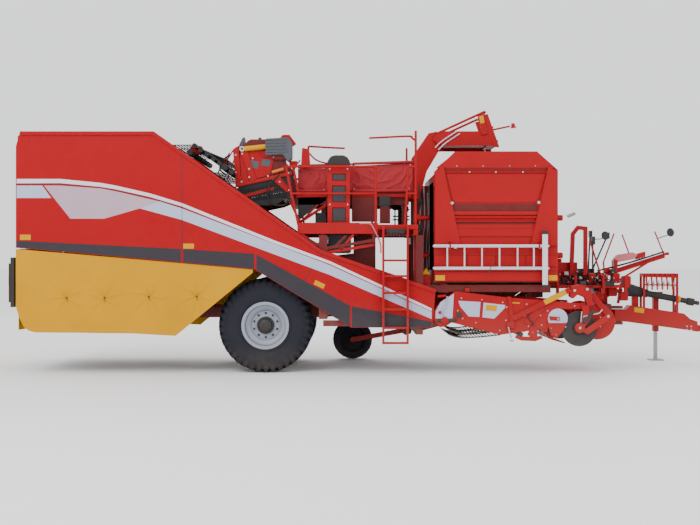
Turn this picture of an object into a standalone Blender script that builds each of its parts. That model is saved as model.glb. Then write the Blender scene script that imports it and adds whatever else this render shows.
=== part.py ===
# Two-row trailed potato harvester with a raised bunker, as it parks on its
# jack.  Metres, +X forward, +Y left, +Z up.  The origin is on the ground below
# the middle of the machine's outline.  Each named object is one sub-part.
import math

import bmesh
import bpy
from mathutils import Matrix, Vector

for old in list(bpy.data.objects):
    bpy.data.objects.remove(old, do_unlink=True)

# ---------------------------------------------------------------- sizes ----
ORIGIN_X = 0.5017            # station of the machine's middle on the drafting line
ORIGIN_Y = -0.05
GAP = 0.0003                # face-to-face gap between neighbouring solids
SIDE_Y = 1.44               # outer face of the side panels
SHEET = 0.03                # side panel thickness
POST_Y0, POST_Y1 = 1.365, 1.4095  # side posts, just inside the panels

AXLE_X, AXLE_Z = -1.43, 0.80
TYRE_R, TYRE_HALF = 0.80, 0.29
RIM_R = 0.385
WHEEL_Y = 0.98              # middle plane of a main wheel
KINGPIN_Y = 0.80

RAIL_Z0, RAIL_Z1 = 0.90, 1.08
LEFT_RAIL = (0.36, 0.52)
RIGHT_RAIL = (-0.56, -0.44)

INTAKE_PIVOT = (1.58, 0.90)
INTAKE_Y0, INTAKE_Y1 = -1.405, 0.25
WEB_Y0, WEB_Y1 = -1.34, 0.24

BUNKER_X0, BUNKER_X1 = 1.40, 3.47
BUNKER_Z0 = 1.54
BUNKER_Y = 1.42
OUTLET_HINGE = (1.30, 1.63)   # y, z
NECK_HINGE = (1.50, 4.00)     # x, z

DRAWBAR_PIVOT = (5.02, 0.75)  # x, y
SUPPORT_PIVOT = (1.05, 0.56)  # x, z
SUPPORT_AXLE = (0.05, 0.38)
SUPPORT_R = 0.38
LADDER_HINGE = (-1.568, 0.94)  # y, z

# ------------------------------------------------------------- materials ---
COLOURS = {
    # name: (red, green, blue), roughness, metallic
    "red": ((0.42, 0.016, 0.012), 0.42, 0.0),
    "dark_red": ((0.20, 0.012, 0.010), 0.5, 0.0),
    "black": ((0.015, 0.015, 0.016), 0.55, 0.0),
    "rubber": ((0.018, 0.018, 0.018), 0.85, 0.0),
    "silver": ((0.55, 0.56, 0.58), 0.35, 0.6),
    "steel": ((0.35, 0.35, 0.36), 0.4, 1.0),
    "grey": ((0.22, 0.23, 0.24), 0.5, 0.0),
    "canvas": ((0.80, 0.50, 0.03), 0.8, 0.0),
    "red_canvas": ((0.45, 0.03, 0.03), 0.8, 0.0),
    "yellow": ((0.85, 0.55, 0.02), 0.5, 0.0),
}


def material(node_name, colour):
    rgb, rough, metal = COLOURS[colour]
    mat = bpy.data.materials.new(node_name + "_finish")
    mat.use_nodes = True
    shader = mat.node_tree.nodes["Principled BSDF"]
    shader.inputs["Base Color"].default_value = (*rgb, 1.0)
    shader.inputs["Roughness"].default_value = rough
    shader.inputs["Metallic"].default_value = metal
    return mat


# ------------------------------------------------------- shape functions ---
def mesh_of(verts, faces):
    bm = bmesh.new()
    made = [bm.verts.new(v) for v in verts]
    for face in faces:
        bm.faces.new([made[i] for i in face])
    bmesh.ops.recalc_face_normals(bm, faces=bm.faces)
    mesh = bpy.data.meshes.new("shape")
    bm.to_mesh(mesh)
    bm.free()
    return mesh


def extruded(points_a, points_b):
    n = len(points_a)
    faces = [list(range(n))[::-1], list(range(n, 2 * n))]
    faces += [[i, (i + 1) % n, n + (i + 1) % n, n + i] for i in range(n)]
    return mesh_of(list(points_a) + list(points_b), faces)


def side_plate(outline_xz, y0, y1):
    return extruded([(x, y0, z) for x, z in outline_xz], [(x, y1, z) for x, z in outline_xz])


def cross_plate(outline_yz, x0, x1):
    return extruded([(x0, y, z) for y, z in outline_yz], [(x1, y, z) for y, z in outline_yz])


def flat_plate(outline_xy, z0, z1):
    return extruded([(x, y, z0) for x, y in outline_xy], [(x, y, z1) for x, y in outline_xy])


def box(x0, x1, y0, y1, z0, z1):
    return side_plate([(x0, z0), (x1, z0), (x1, z1), (x0, z1)], y0, y1)


def rod(start, end, radius, sides=12, end_radius=None):
    a, b = Vector(start), Vector(end)
    axis = (b - a).normalized()
    side = axis.orthogonal().normalized()
    if abs(axis.z) < 0.999:
        side = axis.cross(Vector((0, 0, 1))).normalized()
    up = axis.cross(side)
    far = radius if end_radius is None else end_radius
    ring = [2 * math.pi * (i + 0.5) / sides for i in range(sides)]
    return extruded([a + radius * (math.cos(t) * side + math.sin(t) * up) for t in ring],
                    [b + far * (math.cos(t) * side + math.sin(t) * up) for t in ring])


def bar(start, end, width, height):
    """Rectangular beam: width is level, height is square to width and length."""
    a, b = Vector(start), Vector(end)
    axis = (b - a).normalized()
    side = axis.cross(Vector((0, 0, 1)))
    side = side.normalized() if side.length > 0.01 else Vector((0, 1, 0))
    up = side.cross(axis)
    corners = [(-1, -1), (1, -1), (1, 1), (-1, 1)]
    return extruded([a + side * width / 2 * i + up * height / 2 * j for i, j in corners],
                    [b + side * width / 2 * i + up * height / 2 * j for i, j in corners])


def turned_y(profile, cx, cz, cy, outward, sides=28):
    """Closed profile of (outward offset, radius) turned about a level Y axis."""
    verts, rings = [], []
    for offset, radius in profile:
        if radius == 0:
            rings.append([len(verts)])
            verts.append((cx, cy + outward * offset, cz))
        else:
            ring = []
            for i in range(sides):
                t = 2 * math.pi * i / sides
                ring.append(len(verts))
                verts.append((cx + radius * math.cos(t), cy + outward * offset,
                              cz + radius * math.sin(t)))
            rings.append(ring)
    faces = []
    pairs = list(zip(rings, rings[1:]))
    if profile[0][1] != 0 and profile[-1][1] != 0:
        pairs.append((rings[-1], rings[0]))
    for ra, rb in pairs:
        if len(ra) == 1 and len(rb) == 1:
            continue
        for i in range(sides):
            j = (i + 1) % sides
            if len(ra) == 1:
                faces.append([ra[0], rb[i], rb[j]])
            elif len(rb) == 1:
                faces.append([ra[i], rb[0], ra[j]])
            else:
                faces.append([ra[i], rb[i], rb[j], ra[j]])
    return mesh_of(verts, faces)


def combine(base, other, operation):
    """One Boolean step on two meshes, giving a new mesh."""
    ob_a = bpy.data.objects.new("a", base)
    ob_b = bpy.data.objects.new("b", other)
    bpy.context.scene.collection.objects.link(ob_a)
    bpy.context.scene.collection.objects.link(ob_b)
    mod = ob_a.modifiers.new("join", "BOOLEAN")
    mod.operation = operation
    mod.solver = "EXACT"
    mod.object = ob_b
    graph = bpy.context.evaluated_depsgraph_get()
    result = bpy.data.meshes.new_from_object(ob_a.evaluated_get(graph))
    bpy.data.objects.remove(ob_a, do_unlink=True)
    bpy.data.objects.remove(ob_b, do_unlink=True)
    return result


def node(name, colour, pieces, cuts=(), axis=(0, 0, 0), smooth=False, parent=None):
    """One sub-part: the union of its pieces less its cuts, with its own finish.
    axis is the point on its joint where the object's origin goes."""
    mesh = pieces[0]
    for piece in pieces[1:]:
        mesh = combine(mesh, piece, "UNION")
    for cut in cuts:
        mesh = combine(mesh, cut, "DIFFERENCE")
    bm = bmesh.new()
    bm.from_mesh(mesh)
    bmesh.ops.dissolve_limit(bm, angle_limit=math.radians(0.05), verts=bm.verts,
                             edges=bm.edges, use_dissolve_boundaries=False)
    bmesh.ops.translate(bm, verts=bm.verts, vec=-Vector(axis))
    bm.to_mesh(mesh)
    bm.free()
    mesh.name = name
    mesh.materials.clear()
    mesh.materials.append(material(name, colour))
    if smooth:
        mesh.shade_smooth()
        mesh.set_sharp_from_angle(angle=math.radians(35))
    ob = bpy.data.objects.new(name, mesh)
    ob.location = Vector(axis) - Vector((ORIGIN_X, ORIGIN_Y, 0))
    bpy.context.scene.collection.objects.link(ob)
    return ob


def mirrored(outline, side):
    return [(x, y * side) for x, y in outline]


def span(a, b, side):
    """The same width on the right (side -1) or left (side 1)."""
    return (min(a * side, b * side), max(a * side, b * side))


# ------------------------------------------------------------ main frame ---
FRAME_BOXES = [
    # x0, x1, y0, y1, z0, z1
    (-4.95, 4.70, 0.36, 0.52, 0.90, 1.08),        # left rail, full length
    (-4.95, -0.38, -0.56, -0.44, 0.90, 1.08),     # right rail, ends at the web
    (AXLE_X - 0.10, AXLE_X + 0.10, -0.74, 0.74, 0.70, 0.901),  # axle beam
    (-4.95, -4.83, -POST_Y1, POST_Y1, 0.92, 1.06),
    (-2.80, -2.68, -POST_Y1, POST_Y1, 0.92, 1.06),
    (-0.52, -0.38, -POST_Y1, POST_Y1, 0.92, 1.06),
    (1.10, 1.22, -POST_Y1, POST_Y1, 0.66, 0.78),
    (1.10, 1.22, 0.36, 0.52, 0.70, 0.92),
    (1.52, 1.64, -1.36, 1.27, 1.36, 1.50),        # bunker bearers
    (3.24, 3.36, -1.36, 1.27, 1.36, 1.50),
    (1.16, 3.36, -1.36, -1.28, 1.37, 1.49),
    (1.54, 1.62, 0.36, 0.52, 1.00, 1.40),
    (3.26, 3.34, 0.36, 0.52, 1.00, 1.40),
    (4.50, 4.82, 0.36, 1.02, 0.68, 1.09),         # drawbar headstock
    (4.78, 5.11, 0.66, 0.84, 0.69, 0.74),
    (4.76, 4.90, 1.00, 1.14, 0.898, 0.915),       # steering cylinder's lugs
    (4.76, 4.90, 1.00, 1.14, 0.785, 0.802),
    (1.60, 1.73, -1.19, -1.165, 1.24, 1.40),      # lift cylinder's lugs
    (1.60, 1.73, -1.075, -1.05, 1.24, 1.40),
    (4.78, 5.11, 0.66, 0.84, 0.99, 1.04),
    (3.30, 4.60, 0.38, 0.50, 1.38, 1.48),         # console bearers
    (3.30, 4.60, 0.90, 1.00, 1.38, 1.48),
    (4.50, 4.60, 0.38, 1.00, 1.05, 1.48),
    (-0.50, -0.40, -POST_Y1, POST_Y1, 2.20, 2.32),  # platform bearers
    (1.12, 1.22, -POST_Y1, POST_Y1, 2.20, 2.32),
    (-1.80, -1.70, -POST_Y1, POST_Y1, 2.70, 2.82),  # separator bearer
    (-4.80, -4.70, -POST_Y1, POST_Y1, 2.70, 2.82),
]
POSTS = [
    # x0, x1, z0, z1
    (-4.95, -4.83, 0.92, 3.90),
    (-2.80, -2.68, 0.92, 3.50),
    (-1.80, -1.70, 1.92, 2.82),
    (-0.52, -0.38, 0.92, 2.32),
    (1.10, 1.22, 0.66, 2.32),
]
pieces = [box(*row) for row in FRAME_BOXES]
for side in (-1, 1):
    y0, y1 = span(POST_Y0, POST_Y1, side)
    pieces += [box(x0, x1, y0, y1, z0, z1) for x0, x1, z0, z1 in POSTS]
    pieces += [
        box(-0.45, 1.15, y0, y1, 0.80, 0.90),                       # sill
        box(-4.90, -2.70, y0, y1, 2.14, 2.24),                      # rear side rail
        bar((-4.75, (y0 + y1) / 2, 2.76), (-2.74, (y0 + y1) / 2, 2.76), y1 - y0 - 0.004, 0.09),
        bar((-2.74, (y0 + y1) / 2, 2.76), (-1.72, (y0 + y1) / 2, 2.76), y1 - y0 - 0.004, 0.09),
        bar((-2.72, (y0 + y1) / 2, 2.19), (-1.74, (y0 + y1) / 2, 1.97), y1 - y0 - 0.004, 0.09),
        bar((-1.74, (y0 + y1) / 2, 1.97), (-0.45, (y0 + y1) / 2, 1.22), y1 - y0 - 0.006, 0.09),
        rod((AXLE_X, side * KINGPIN_Y, 0.70), (AXLE_X, side * KINGPIN_Y, 0.90), 0.085, 12),
        box(AXLE_X - 0.07, AXLE_X + 0.07, *span(0.70, KINGPIN_Y, side), 0.71, 0.89),
    ]
pieces += [                                                          # truss under the right platform
    bar((-0.84, -1.385, 2.30), (-0.40, -1.385, 2.10), 0.04, 0.05),
    bar((-0.42, -1.385, 2.10), (0.42, -1.385, 2.24), 0.04, 0.05),
    bar((0.40, -1.385, 2.22), (0.40, -1.385, 2.34), 0.04, 0.05),
    bar((-0.07, -1.385, 2.31), (-0.24, -1.385, 2.14), 0.04, 0.04),
]
# intake pivot lugs, and the support wheel's hanger on the left
for y0, y1 in ((-1.36, -1.31), (0.16, 0.21)):
    pieces.append(side_plate([(1.12, 0.70), (1.50, 0.80), (1.64, 0.84), (1.66, 0.94),
                              (1.58, 0.99), (1.48, 0.94), (1.22, 0.765), (1.12, 0.775)], y0, y1))
pieces.append(side_plate([(1.11, 0.70), (1.21, 0.70), (1.16, 0.50), (1.05, 0.47),
                          (0.97, 0.53), (1.00, 0.63)], 0.96, 1.02))
node("main_frame", "dark_red", pieces, cuts=[
    rod((INTAKE_PIVOT[0], -1.38, INTAKE_PIVOT[1]), (INTAKE_PIVOT[0], 0.23, INTAKE_PIVOT[1]), 0.034, 12)])

# ---------------------------------------------------- axle and main wheels --
RIM_PROFILE = [
    # outward from the wheel's middle plane, radius
    (0.0755, 0), (0.0755, 0.13), (0.10, 0.14), (0.10, 0.345), (-0.26, 0.345),
    (-0.26, RIM_R), (0.26, RIM_R), (0.26, 0.345), (0.13, 0.335), (0.13, 0.17),
    (0.155, 0.115), (0.205, 0.105), (0.205, 0),
]
TYRE_PROFILE = [
    (-0.25, RIM_R + GAP), (0.25, RIM_R + GAP), (0.28, 0.45), (TYRE_HALF, 0.60), (0.275, 0.71),
    (0.235, 0.775), (0.10, TYRE_R), (-0.10, TYRE_R), (-0.235, 0.775),
    (-0.275, 0.71), (-TYRE_HALF, 0.60), (-0.28, 0.45),
]
for side, word in ((-1, "right"), (1, "left")):
    at = (AXLE_X, side * KINGPIN_Y, AXLE_Z)
    cy = side * KINGPIN_Y
    node("knuckle_" + word, "black", [
        box(AXLE_X - 0.09, AXLE_X + 0.09, *span(KINGPIN_Y - 0.08, KINGPIN_Y + 0.14, side), 0.907, 0.945),
        box(AXLE_X - 0.09, AXLE_X + 0.09, *span(KINGPIN_Y - 0.08, KINGPIN_Y + 0.14, side), 0.655, 0.693),
        box(AXLE_X - 0.09, AXLE_X + 0.09, *span(KINGPIN_Y + 0.10, KINGPIN_Y + 0.14, side), 0.656, 0.944),
        rod((AXLE_X, side * (KINGPIN_Y + 0.12), AXLE_Z), (AXLE_X, side * (WHEEL_Y + 0.075), AXLE_Z), 0.075, 14),
        rod((AXLE_X, cy, 0.93), (AXLE_X, cy, 0.975), 0.04, 10),
        box(AXLE_X - 0.30, AXLE_X - 0.05, *span(KINGPIN_Y - 0.06, KINGPIN_Y, side), 0.915, 0.944),
    ], axis=at, smooth=True)
    node("rim_" + word, "silver", [turned_y(RIM_PROFILE, AXLE_X, AXLE_Z, side * WHEEL_Y, side)],
         axis=(AXLE_X, side * WHEEL_Y, AXLE_Z), smooth=True)
    node("tyre_" + word, "rubber", [turned_y(TYRE_PROFILE, AXLE_X, AXLE_Z, side * WHEEL_Y, side)],
         axis=(AXLE_X, side * WHEEL_Y, AXLE_Z), smooth=True)

# ------------------------------------------------------------ side panels ---
SEAM_X = -2.80
PANEL_TOP = 4.05
PANEL_REAR = [(-5.57, 2.11), (SEAM_X - 0.002, 1.862), (SEAM_X - 0.002, 3.722),
              (-3.27, PANEL_TOP), (-5.50, PANEL_TOP), (-5.57, 3.80)]
PANEL_FRONT = [(SEAM_X + 0.002, 1.861), (-1.59, 1.75), (0.02, 0.78), (1.37, 0.78),
               (1.43, 1.42), (-0.47, 2.07), (SEAM_X + 0.002, 3.718)]
# The lip is a rolled edge that stands outside the sheet along the top.
for side, word in ((-1, "right"), (1, "left")):
    y0, y1 = span(SIDE_Y - SHEET, SIDE_Y, side)
    l0, l1 = span(SIDE_Y - SHEET - 0.002, SIDE_Y + 0.02, side)
    rear = [side_plate(PANEL_REAR, y0, y1),
            side_plate([(-5.50, PANEL_TOP - 0.06), (-3.29, PANEL_TOP - 0.06),
                        (SEAM_X - 0.002, 3.66), (SEAM_X - 0.002, 3.722), (-3.27, PANEL_TOP), (-5.50, PANEL_TOP)],
                       y0 if side > 0 else l0, l1 if side > 0 else y1)]
    node("side_panel_rear_" + word, "red", rear)
    front = [side_plate(PANEL_FRONT, y0, y1),
             side_plate([(SEAM_X + 0.002, 3.656), (-0.49, 2.02), (1.424, 1.36), (1.43, 1.42),
                         (-0.47, 2.07), (SEAM_X + 0.002, 3.718)],
                        y0 if side > 0 else l0, l1 if side > 0 else y1)]
    node("side_panel_front_" + word, "red", front)

# rear hood between the side panels, with a bumper and lamp brackets
HOOD_Y = SIDE_Y - SHEET - GAP
node("rear_hood", "red", [
    cross_plate([(-HOOD_Y, 2.13), (HOOD_Y, 2.13), (HOOD_Y, 3.98), (-HOOD_Y, 3.98)], -5.55, -5.52),
    box(-5.53, -5.30, -HOOD_Y, HOOD_Y, 3.95, 3.98),
    box(-5.53, -4.953, -1.36, -1.30, 2.30, 2.40),
    box(-5.53, -4.953, 1.30, 1.36, 2.30, 2.40),
    box(-5.53, -4.953, -1.36, -1.30, 3.70, 3.80),
    box(-5.53, -4.953, 1.30, 1.36, 3.70, 3.80),
])
for side, word in ((-1, "right"), (1, "left")):
    y0, y1 = span(1.24, 1.44, side)
    arm0, arm1 = span(1.30, 1.36, side)
    node("lamp_bracket_" + word, "black", [
        box(-5.66, -5.60, y0, y1, 1.12, 1.95),
        box(-5.62, -4.953, arm0, arm1, 1.45, 1.52),
        box(-5.70, -5.655, *span(1.27, 1.41, side), 1.20, 1.85),
    ])

# ------------------------------------------------------- yellow canvases ---
CURTAIN = [(-5.58, 2.104), (-5.565, 1.14), (-5.44, 0.79), (-5.29, 0.70), (-3.61, 0.68),
           (-2.91, 0.635), (-1.62, 1.70), (-1.62, 1.748), (SEAM_X, 1.855)]
for side, word in ((-1, "right"), (1, "left")):
    node("curtain_" + word, "canvas", [side_plate(CURTAIN, *span(1.41, 1.435, side))])
node("curtain_rear", "canvas", [box(-5.575, -5.55, -1.285, 1.285, 0.72, 2.10)])

# ------------------------------------------------------------------ webs ---
node("web_front", "black", [side_plate([
    (1.34, 0.86), (0.05, 0.90), (-1.54, 1.86), (-1.60, 1.91), (-1.54, 2.02), (0.10, 1.06),
    (1.34, 1.06)], WEB_Y0, WEB_Y1)])
node("web_rear", "black", [side_plate([
    (-1.66, 1.95), (-4.55, 2.12), (-4.60, 2.20), (-4.55, 2.30), (-1.66, 2.13)], -1.34, 1.34)])
node("web_lower", "black", [side_plate([
    (-2.90, 1.30), (-4.66, 1.10), (-4.66, 1.26), (-2.90, 1.46)], -1.34, 1.34)])
node("elevator", "black", [side_plate([
    (-5.00, 0.80), (-5.20, 0.74), (-5.42, 0.82), (-5.46, 1.00), (-5.46, 3.60), (-5.38, 3.78),
    (-5.24, 3.80), (-5.24, 1.00), (-5.14, 0.92), (-5.00, 0.92)], -1.28, 1.28)])
node("web_upper", "black", [side_plate([
    (-5.20, 3.66), (-2.05, 3.34), (-1.98, 3.46), (-2.04, 3.60), (-2.66, 3.86),
    (-5.20, 3.86)], -1.28, 1.28)])

# ------------------------------------------- separator above the slope ------
SEP_PLATE = [(-1.97, 3.76), (-1.94, 3.20), (-1.76, 2.822), (-1.62, 2.822), (-1.25, 2.90), (-0.98, 3.02),
             (-1.10, 3.63), (-1.42, 3.97), (-1.70, 3.97)]
separator = []
for y0, y1 in ((-1.00, -0.96), (0.96, 1.00)):
    separator.append(side_plate(SEP_PLATE, y0, y1))
for x, z, r in ((-1.78, 3.30, 0.085), (-1.58, 3.22, 0.085), (-1.38, 3.14, 0.085),
                (-1.18, 3.06, 0.085), (-1.55, 3.82, 0.09), (-1.78, 3.05, 0.06)):
    separator.append(rod((x, -0.97, z), (x, 0.97, z), r, 10))
separator.append(box(-1.30, -1.02, -1.06, -0.80, 3.62, 3.94))
node("separator", "dark_red", separator, smooth=True)

# ------------------------------------------------------- picking table -----
node("picking_table", "dark_red", [
    box(-1.02, 1.02, -0.80, -0.74, 2.86, 3.10),
    box(-1.02, 1.02, 0.74, 0.78, 2.86, 3.10),
    box(-1.00, -0.94, -0.76, 0.76, 2.88, 2.96),
    box(0.94, 1.00, -0.76, 0.76, 2.88, 2.96),
    box(-0.50, -0.42, -0.78, -0.72, 2.3203, 2.90),
    box(-0.50, -0.42, 0.72, 0.78, 2.3203, 2.90),
    box(0.90, 0.98, -0.78, -0.72, 2.56, 2.90),
    box(0.90, 0.98, 0.72, 0.78, 2.56, 2.90),
    box(0.90, 1.20, -0.78, -0.72, 2.3203, 2.40),
    box(0.90, 1.20, 0.72, 0.78, 2.3203, 2.40),
    box(0.90, 0.98, -0.78, -0.72, 2.3203, 2.60),
    box(0.90, 0.98, 0.72, 0.78, 2.3203, 2.60),
    box(-0.99, 0.99, -0.75, 0.75, 2.95, 3.02),                     # belt bed
    bar((-1.00, -0.80, 3.05), (1.08, -0.80, 3.05), 0.026, 0.05),
    bar((-0.88, -0.80, 3.03), (-0.88, -0.80, 3.55), 0.026, 0.03),
    bar((-0.40, -0.80, 3.03), (-0.40, -0.80, 3.55), 0.026, 0.03),
    bar((0.06, -0.80, 3.03), (0.06, -0.80, 3.55), 0.026, 0.03),
    bar((1.06, -0.80, 3.03), (1.06, -0.80, 3.60), 0.026, 0.03),
    bar((-0.90, -0.80, 3.54), (1.08, -0.80, 3.59), 0.026, 0.03),
])
node("canvas_rear", "red_canvas", [side_plate([
    (-0.90, 3.06), (-0.42, 3.06), (-0.42, 3.52), (-0.86, 3.50)], -0.84, -0.815)])
node("canvas_front", "red_canvas", [side_plate([
    (0.04, 3.06), (1.07, 3.06), (1.10, 3.58), (0.04, 3.52)], -0.84, -0.815)])

# ----------------------------------------------------- platforms and rails --
for side, word in ((-1, "right"), (1, "left")):
    yo0, yo1 = span(1.33, 1.40, side)
    ym = side * 1.365
    deck = [
        box(-0.88, 1.14, *span(0.80, 1.39, side), 2.46, 2.49),
        box(-0.88, 0.47, yo0, yo1, 2.345, 2.53),
        box(0.40, 1.14, *span(1.335, 1.395, side), 2.42, 2.50),
        box(-0.86, 1.14, *span(0.80, 0.85, side), 2.3203, 2.48),
        box(-0.50, -0.42, *span(0.82, 1.36, side), 2.3203, 2.47),
        box(1.06, 1.14, *span(0.82, 1.38, side), 2.3203, 2.47),
    ] if side < 0 else [
        box(-0.88, 1.14, *span(0.80, 1.39, side), 2.46, 2.49),
        box(-0.88, 1.14, yo0, yo1, 2.345, 2.53),
        box(-0.86, 1.14, *span(0.80, 0.85, side), 2.3203, 2.48),
        box(-0.50, -0.42, *span(0.82, 1.36, side), 2.3203, 2.47),
        box(1.06, 1.14, *span(0.82, 1.38, side), 2.3203, 2.47),
    ]
    # posts: x at the foot, x at the top, top z
    posts = [(-0.91, -1.08, 3.48), (0.43, 0.43, 3.49), (1.10, 1.10, 4.07)]
    if side < 0:
        posts.append((0.92, 0.98, 3.49))
    for foot, top, height in posts:
        foot_in = max(foot, -0.86)
        deck.append(rod((foot_in, ym, 2.47), (top, ym, height), 0.022, 8))
    if side < 0:
        deck += [rod((-1.075, ym, 3.47), (0.45, ym, 3.47), 0.021, 8),
                 rod((-1.01, ym, 3.02), (0.44, ym, 3.02), 0.019, 8),
                 rod((0.97, ym, 3.47), (1.11, ym, 3.47), 0.021, 8),
                 rod((0.96, ym, 3.02), (1.11, ym, 3.02), 0.019, 8)]
    else:
        deck += [rod((-1.075, ym, 3.47), (1.11, ym, 3.47), 0.021, 8),
                 rod((-1.01, ym, 3.02), (1.11, ym, 3.02), 0.019, 8)]
    node("platform_" + word, "red", deck)

WINDOWS = [(3.24, 3.36), (2.88, 3.16), (2.55, 2.79)]   # z0, z1
node("control_column", "red", [
    side_plate([(-0.38, 2.4903), (0.00, 2.4903), (0.00, 3.50), (-0.02, 3.60), (-0.08, 3.66),
                (-0.28, 3.66), (-0.36, 3.60), (-0.38, 3.50)], -1.28, -1.06)], cuts=[
    side_plate([(-0.30, z0), (-0.07, z0), (-0.07, z1), (-0.30, z1)], -1.33, -1.25)
    for z0, z1 in WINDOWS])

# --------------------------------------------------------------- ladders ---
def ladder_rails(x_pair, y0, y1, z0, z1, rungs):
    made = []
    for x in x_pair:
        made.append(box(x - 0.018, x + 0.018, y0, y1, z0, z1))
    for z in rungs:
        made.append(box(x_pair[0], x_pair[1], y0 + 0.01, y1 - 0.01, z - 0.018, z + 0.018))
    return made


LADDER_X = (0.552, 0.956)
upper = ladder_rails(LADDER_X, -1.56, -1.49, 0.96, 2.47, (1.09, 1.36, 1.64, 1.90))
for x in LADDER_X:
    upper += [box(x - 0.015, x + 0.015, -1.50, -SIDE_Y - 0.0203, 1.20, 1.30),
              box(x - 0.015, x + 0.015, -1.50, -1.4003, 2.425, 2.465)]
node("ladder_upper", "red", upper)
lower = ladder_rails(LADDER_X, -1.56, -1.49, 0.51, 0.95, (0.78, 0.53))
node("ladder_lower", "red", lower, axis=(sum(LADDER_X) / 2, *LADDER_HINGE))

# ---------------------------------------------------------------- bunker ---
BUNKER_OUTLINE = [(1.405, BUNKER_Z0), (3.47, BUNKER_Z0), (3.47, 3.41), (3.12, 3.72), (1.755, 3.72), (1.405, 3.38)]
end_wall = [(-1.38, BUNKER_Z0), (1.285, BUNKER_Z0), (1.285, 1.60), (0.70, 1.60), (0.70, 3.34), (-1.38, 3.34)]
bunker = [
    side_plate(BUNKER_OUTLINE, -BUNKER_Y, -1.37),
    cross_plate(end_wall, 1.405, 1.445),
    cross_plate(end_wall, 3.43, 3.47),
    box(1.43, 3.44, -1.38, 1.285, BUNKER_Z0, 1.58),
    box(1.425, 3.45, -1.455, -1.41, 1.56, 1.71),               # lower side beam
    box(1.47, 3.41, -1.45, -1.41, 2.30, 2.42),
    box(1.60, 3.28, -1.45, -1.41, 2.66, 2.72),
    box(1.50, 1.62, -1.30, 1.20, 1.5003, 1.545),
    box(3.26, 3.36, -1.30, 1.20, 1.5003, 1.545),
]
for top_x, foot_x in ((1.53, 1.79), (3.35, 3.06)):               # buttresses
    bunker.append(side_plate([(top_x - 0.05, 3.46), (top_x + 0.03, 3.46), (foot_x + 0.03, 2.17),
                              (foot_x - 0.05, 2.17)], -1.47, -1.41))
bunker.append(box(1.50, 3.38, -1.375, 1.20, 1.57, 1.64))           # floor web
node("bunker", "red", bunker)
hy, hz = OUTLET_HINGE
outlet = [
    box(1.50, 3.37, hy - 0.05, hy - 0.01, hz + 0.03, 3.36),
    box(1.50, 1.54, 0.78, hy - 0.03, hz + 0.05, 3.36),
    box(3.33, 3.37, 0.78, hy - 0.03, hz + 0.05, 3.36),
    rod((1.50, hy, hz), (3.37, hy, hz), 0.03, 10),
    box(1.50, 3.37, hy - 0.045, hy + 0.008, hz + 0.005, hz + 0.06),
    box(1.50, 3.37, hy - 0.02, hy + 0.03, 2.40, 2.50),
    box(1.50, 3.37, hy - 0.02, hy + 0.03, 3.20, 3.30),
]
node("bunker_outlet", "red", outlet, axis=(2.43, hy, hz))

hung = []
for z in (2.14, 1.77):
    hung.append(rod((1.375, -1.52, z), (3.30, -1.52, z), 0.028, 8))
for x in (1.614, 1.90, 2.19, 2.48, 2.78, 3.05):
    hung.append(rod((x, -1.52, 1.77), (x, -1.52, 2.14), 0.014, 8))
for x in (1.75, 3.15):
    hung.append(box(x - 0.02, x + 0.02, -1.525, -1.4203, 2.10, 2.16))
    hung.append(box(x - 0.02, x + 0.02, -1.525, -1.4203, 1.745, 1.795))
node("spare_ladder", "silver", hung)

# --------------------------------------------------- bunker filling neck ---
FEED_PLATE = [(1.03, 2.96), (1.20, 2.96), (1.33, 3.44), (1.58, 3.86), (1.58, 4.05), (1.50, 4.13),
              (1.36, 4.10), (1.12, 3.75), (1.03, 3.40)]
node("feed_conveyor", "red", [
    side_plate(FEED_PLATE, -0.78, -0.75),
    side_plate(FEED_PLATE, 0.12, 0.15),
    side_plate([(1.06, 3.02), (1.19, 3.02), (1.30, 3.46), (1.50, 3.80), (1.40, 3.92), (1.16, 3.58),
                (1.06, 3.30)], -0.76, 0.13),
    box(0.99, 1.10, -0.785, 0.785, 3.1003, 3.16),
])
nx, nz = NECK_HINGE
NECK_PLATE = [(1.62, 3.88), (2.46, 3.88), (2.44, 4.13), (1.60, 4.13), (1.46, 4.06), (1.44, 3.98), (1.50, 3.92)]
neck = [
    side_plate(NECK_PLATE, -0.82, -0.79),
    side_plate(NECK_PLATE, 0.16, 0.19),
    side_plate([(1.66, 3.93), (2.40, 3.93), (2.40, 4.06), (1.66, 4.06)], -0.80, 0.17),
    side_plate([(2.28, 4.41), (2.38, 4.43), (2.58, 3.86), (2.48, 3.86)], -0.82, -0.74),
    side_plate([(2.28, 4.41), (2.38, 4.43), (2.58, 3.86), (2.48, 3.86)], 0.11, 0.19),
    box(2.40, 2.56, -0.80, 0.17, 3.90, 3.98),
    rod((1.50, -0.805, 4.09), (2.33, -0.805, 4.47), 0.022, 8),
    rod((1.50, 0.175, 4.09), (2.33, 0.175, 4.47), 0.022, 8),
    rod((2.33, -0.80, 4.46), (2.33, 0.17, 4.46), 0.025, 8),
    bar((2.46, -0.315, 4.20), (2.84, -0.315, 4.28), 0.03, 0.03),
    rod((2.46, -0.80, 4.20), (2.46, 0.17, 4.20), 0.022, 8),
]
node("filling_neck", "red", neck, axis=(nx, -0.315, nz))

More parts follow.
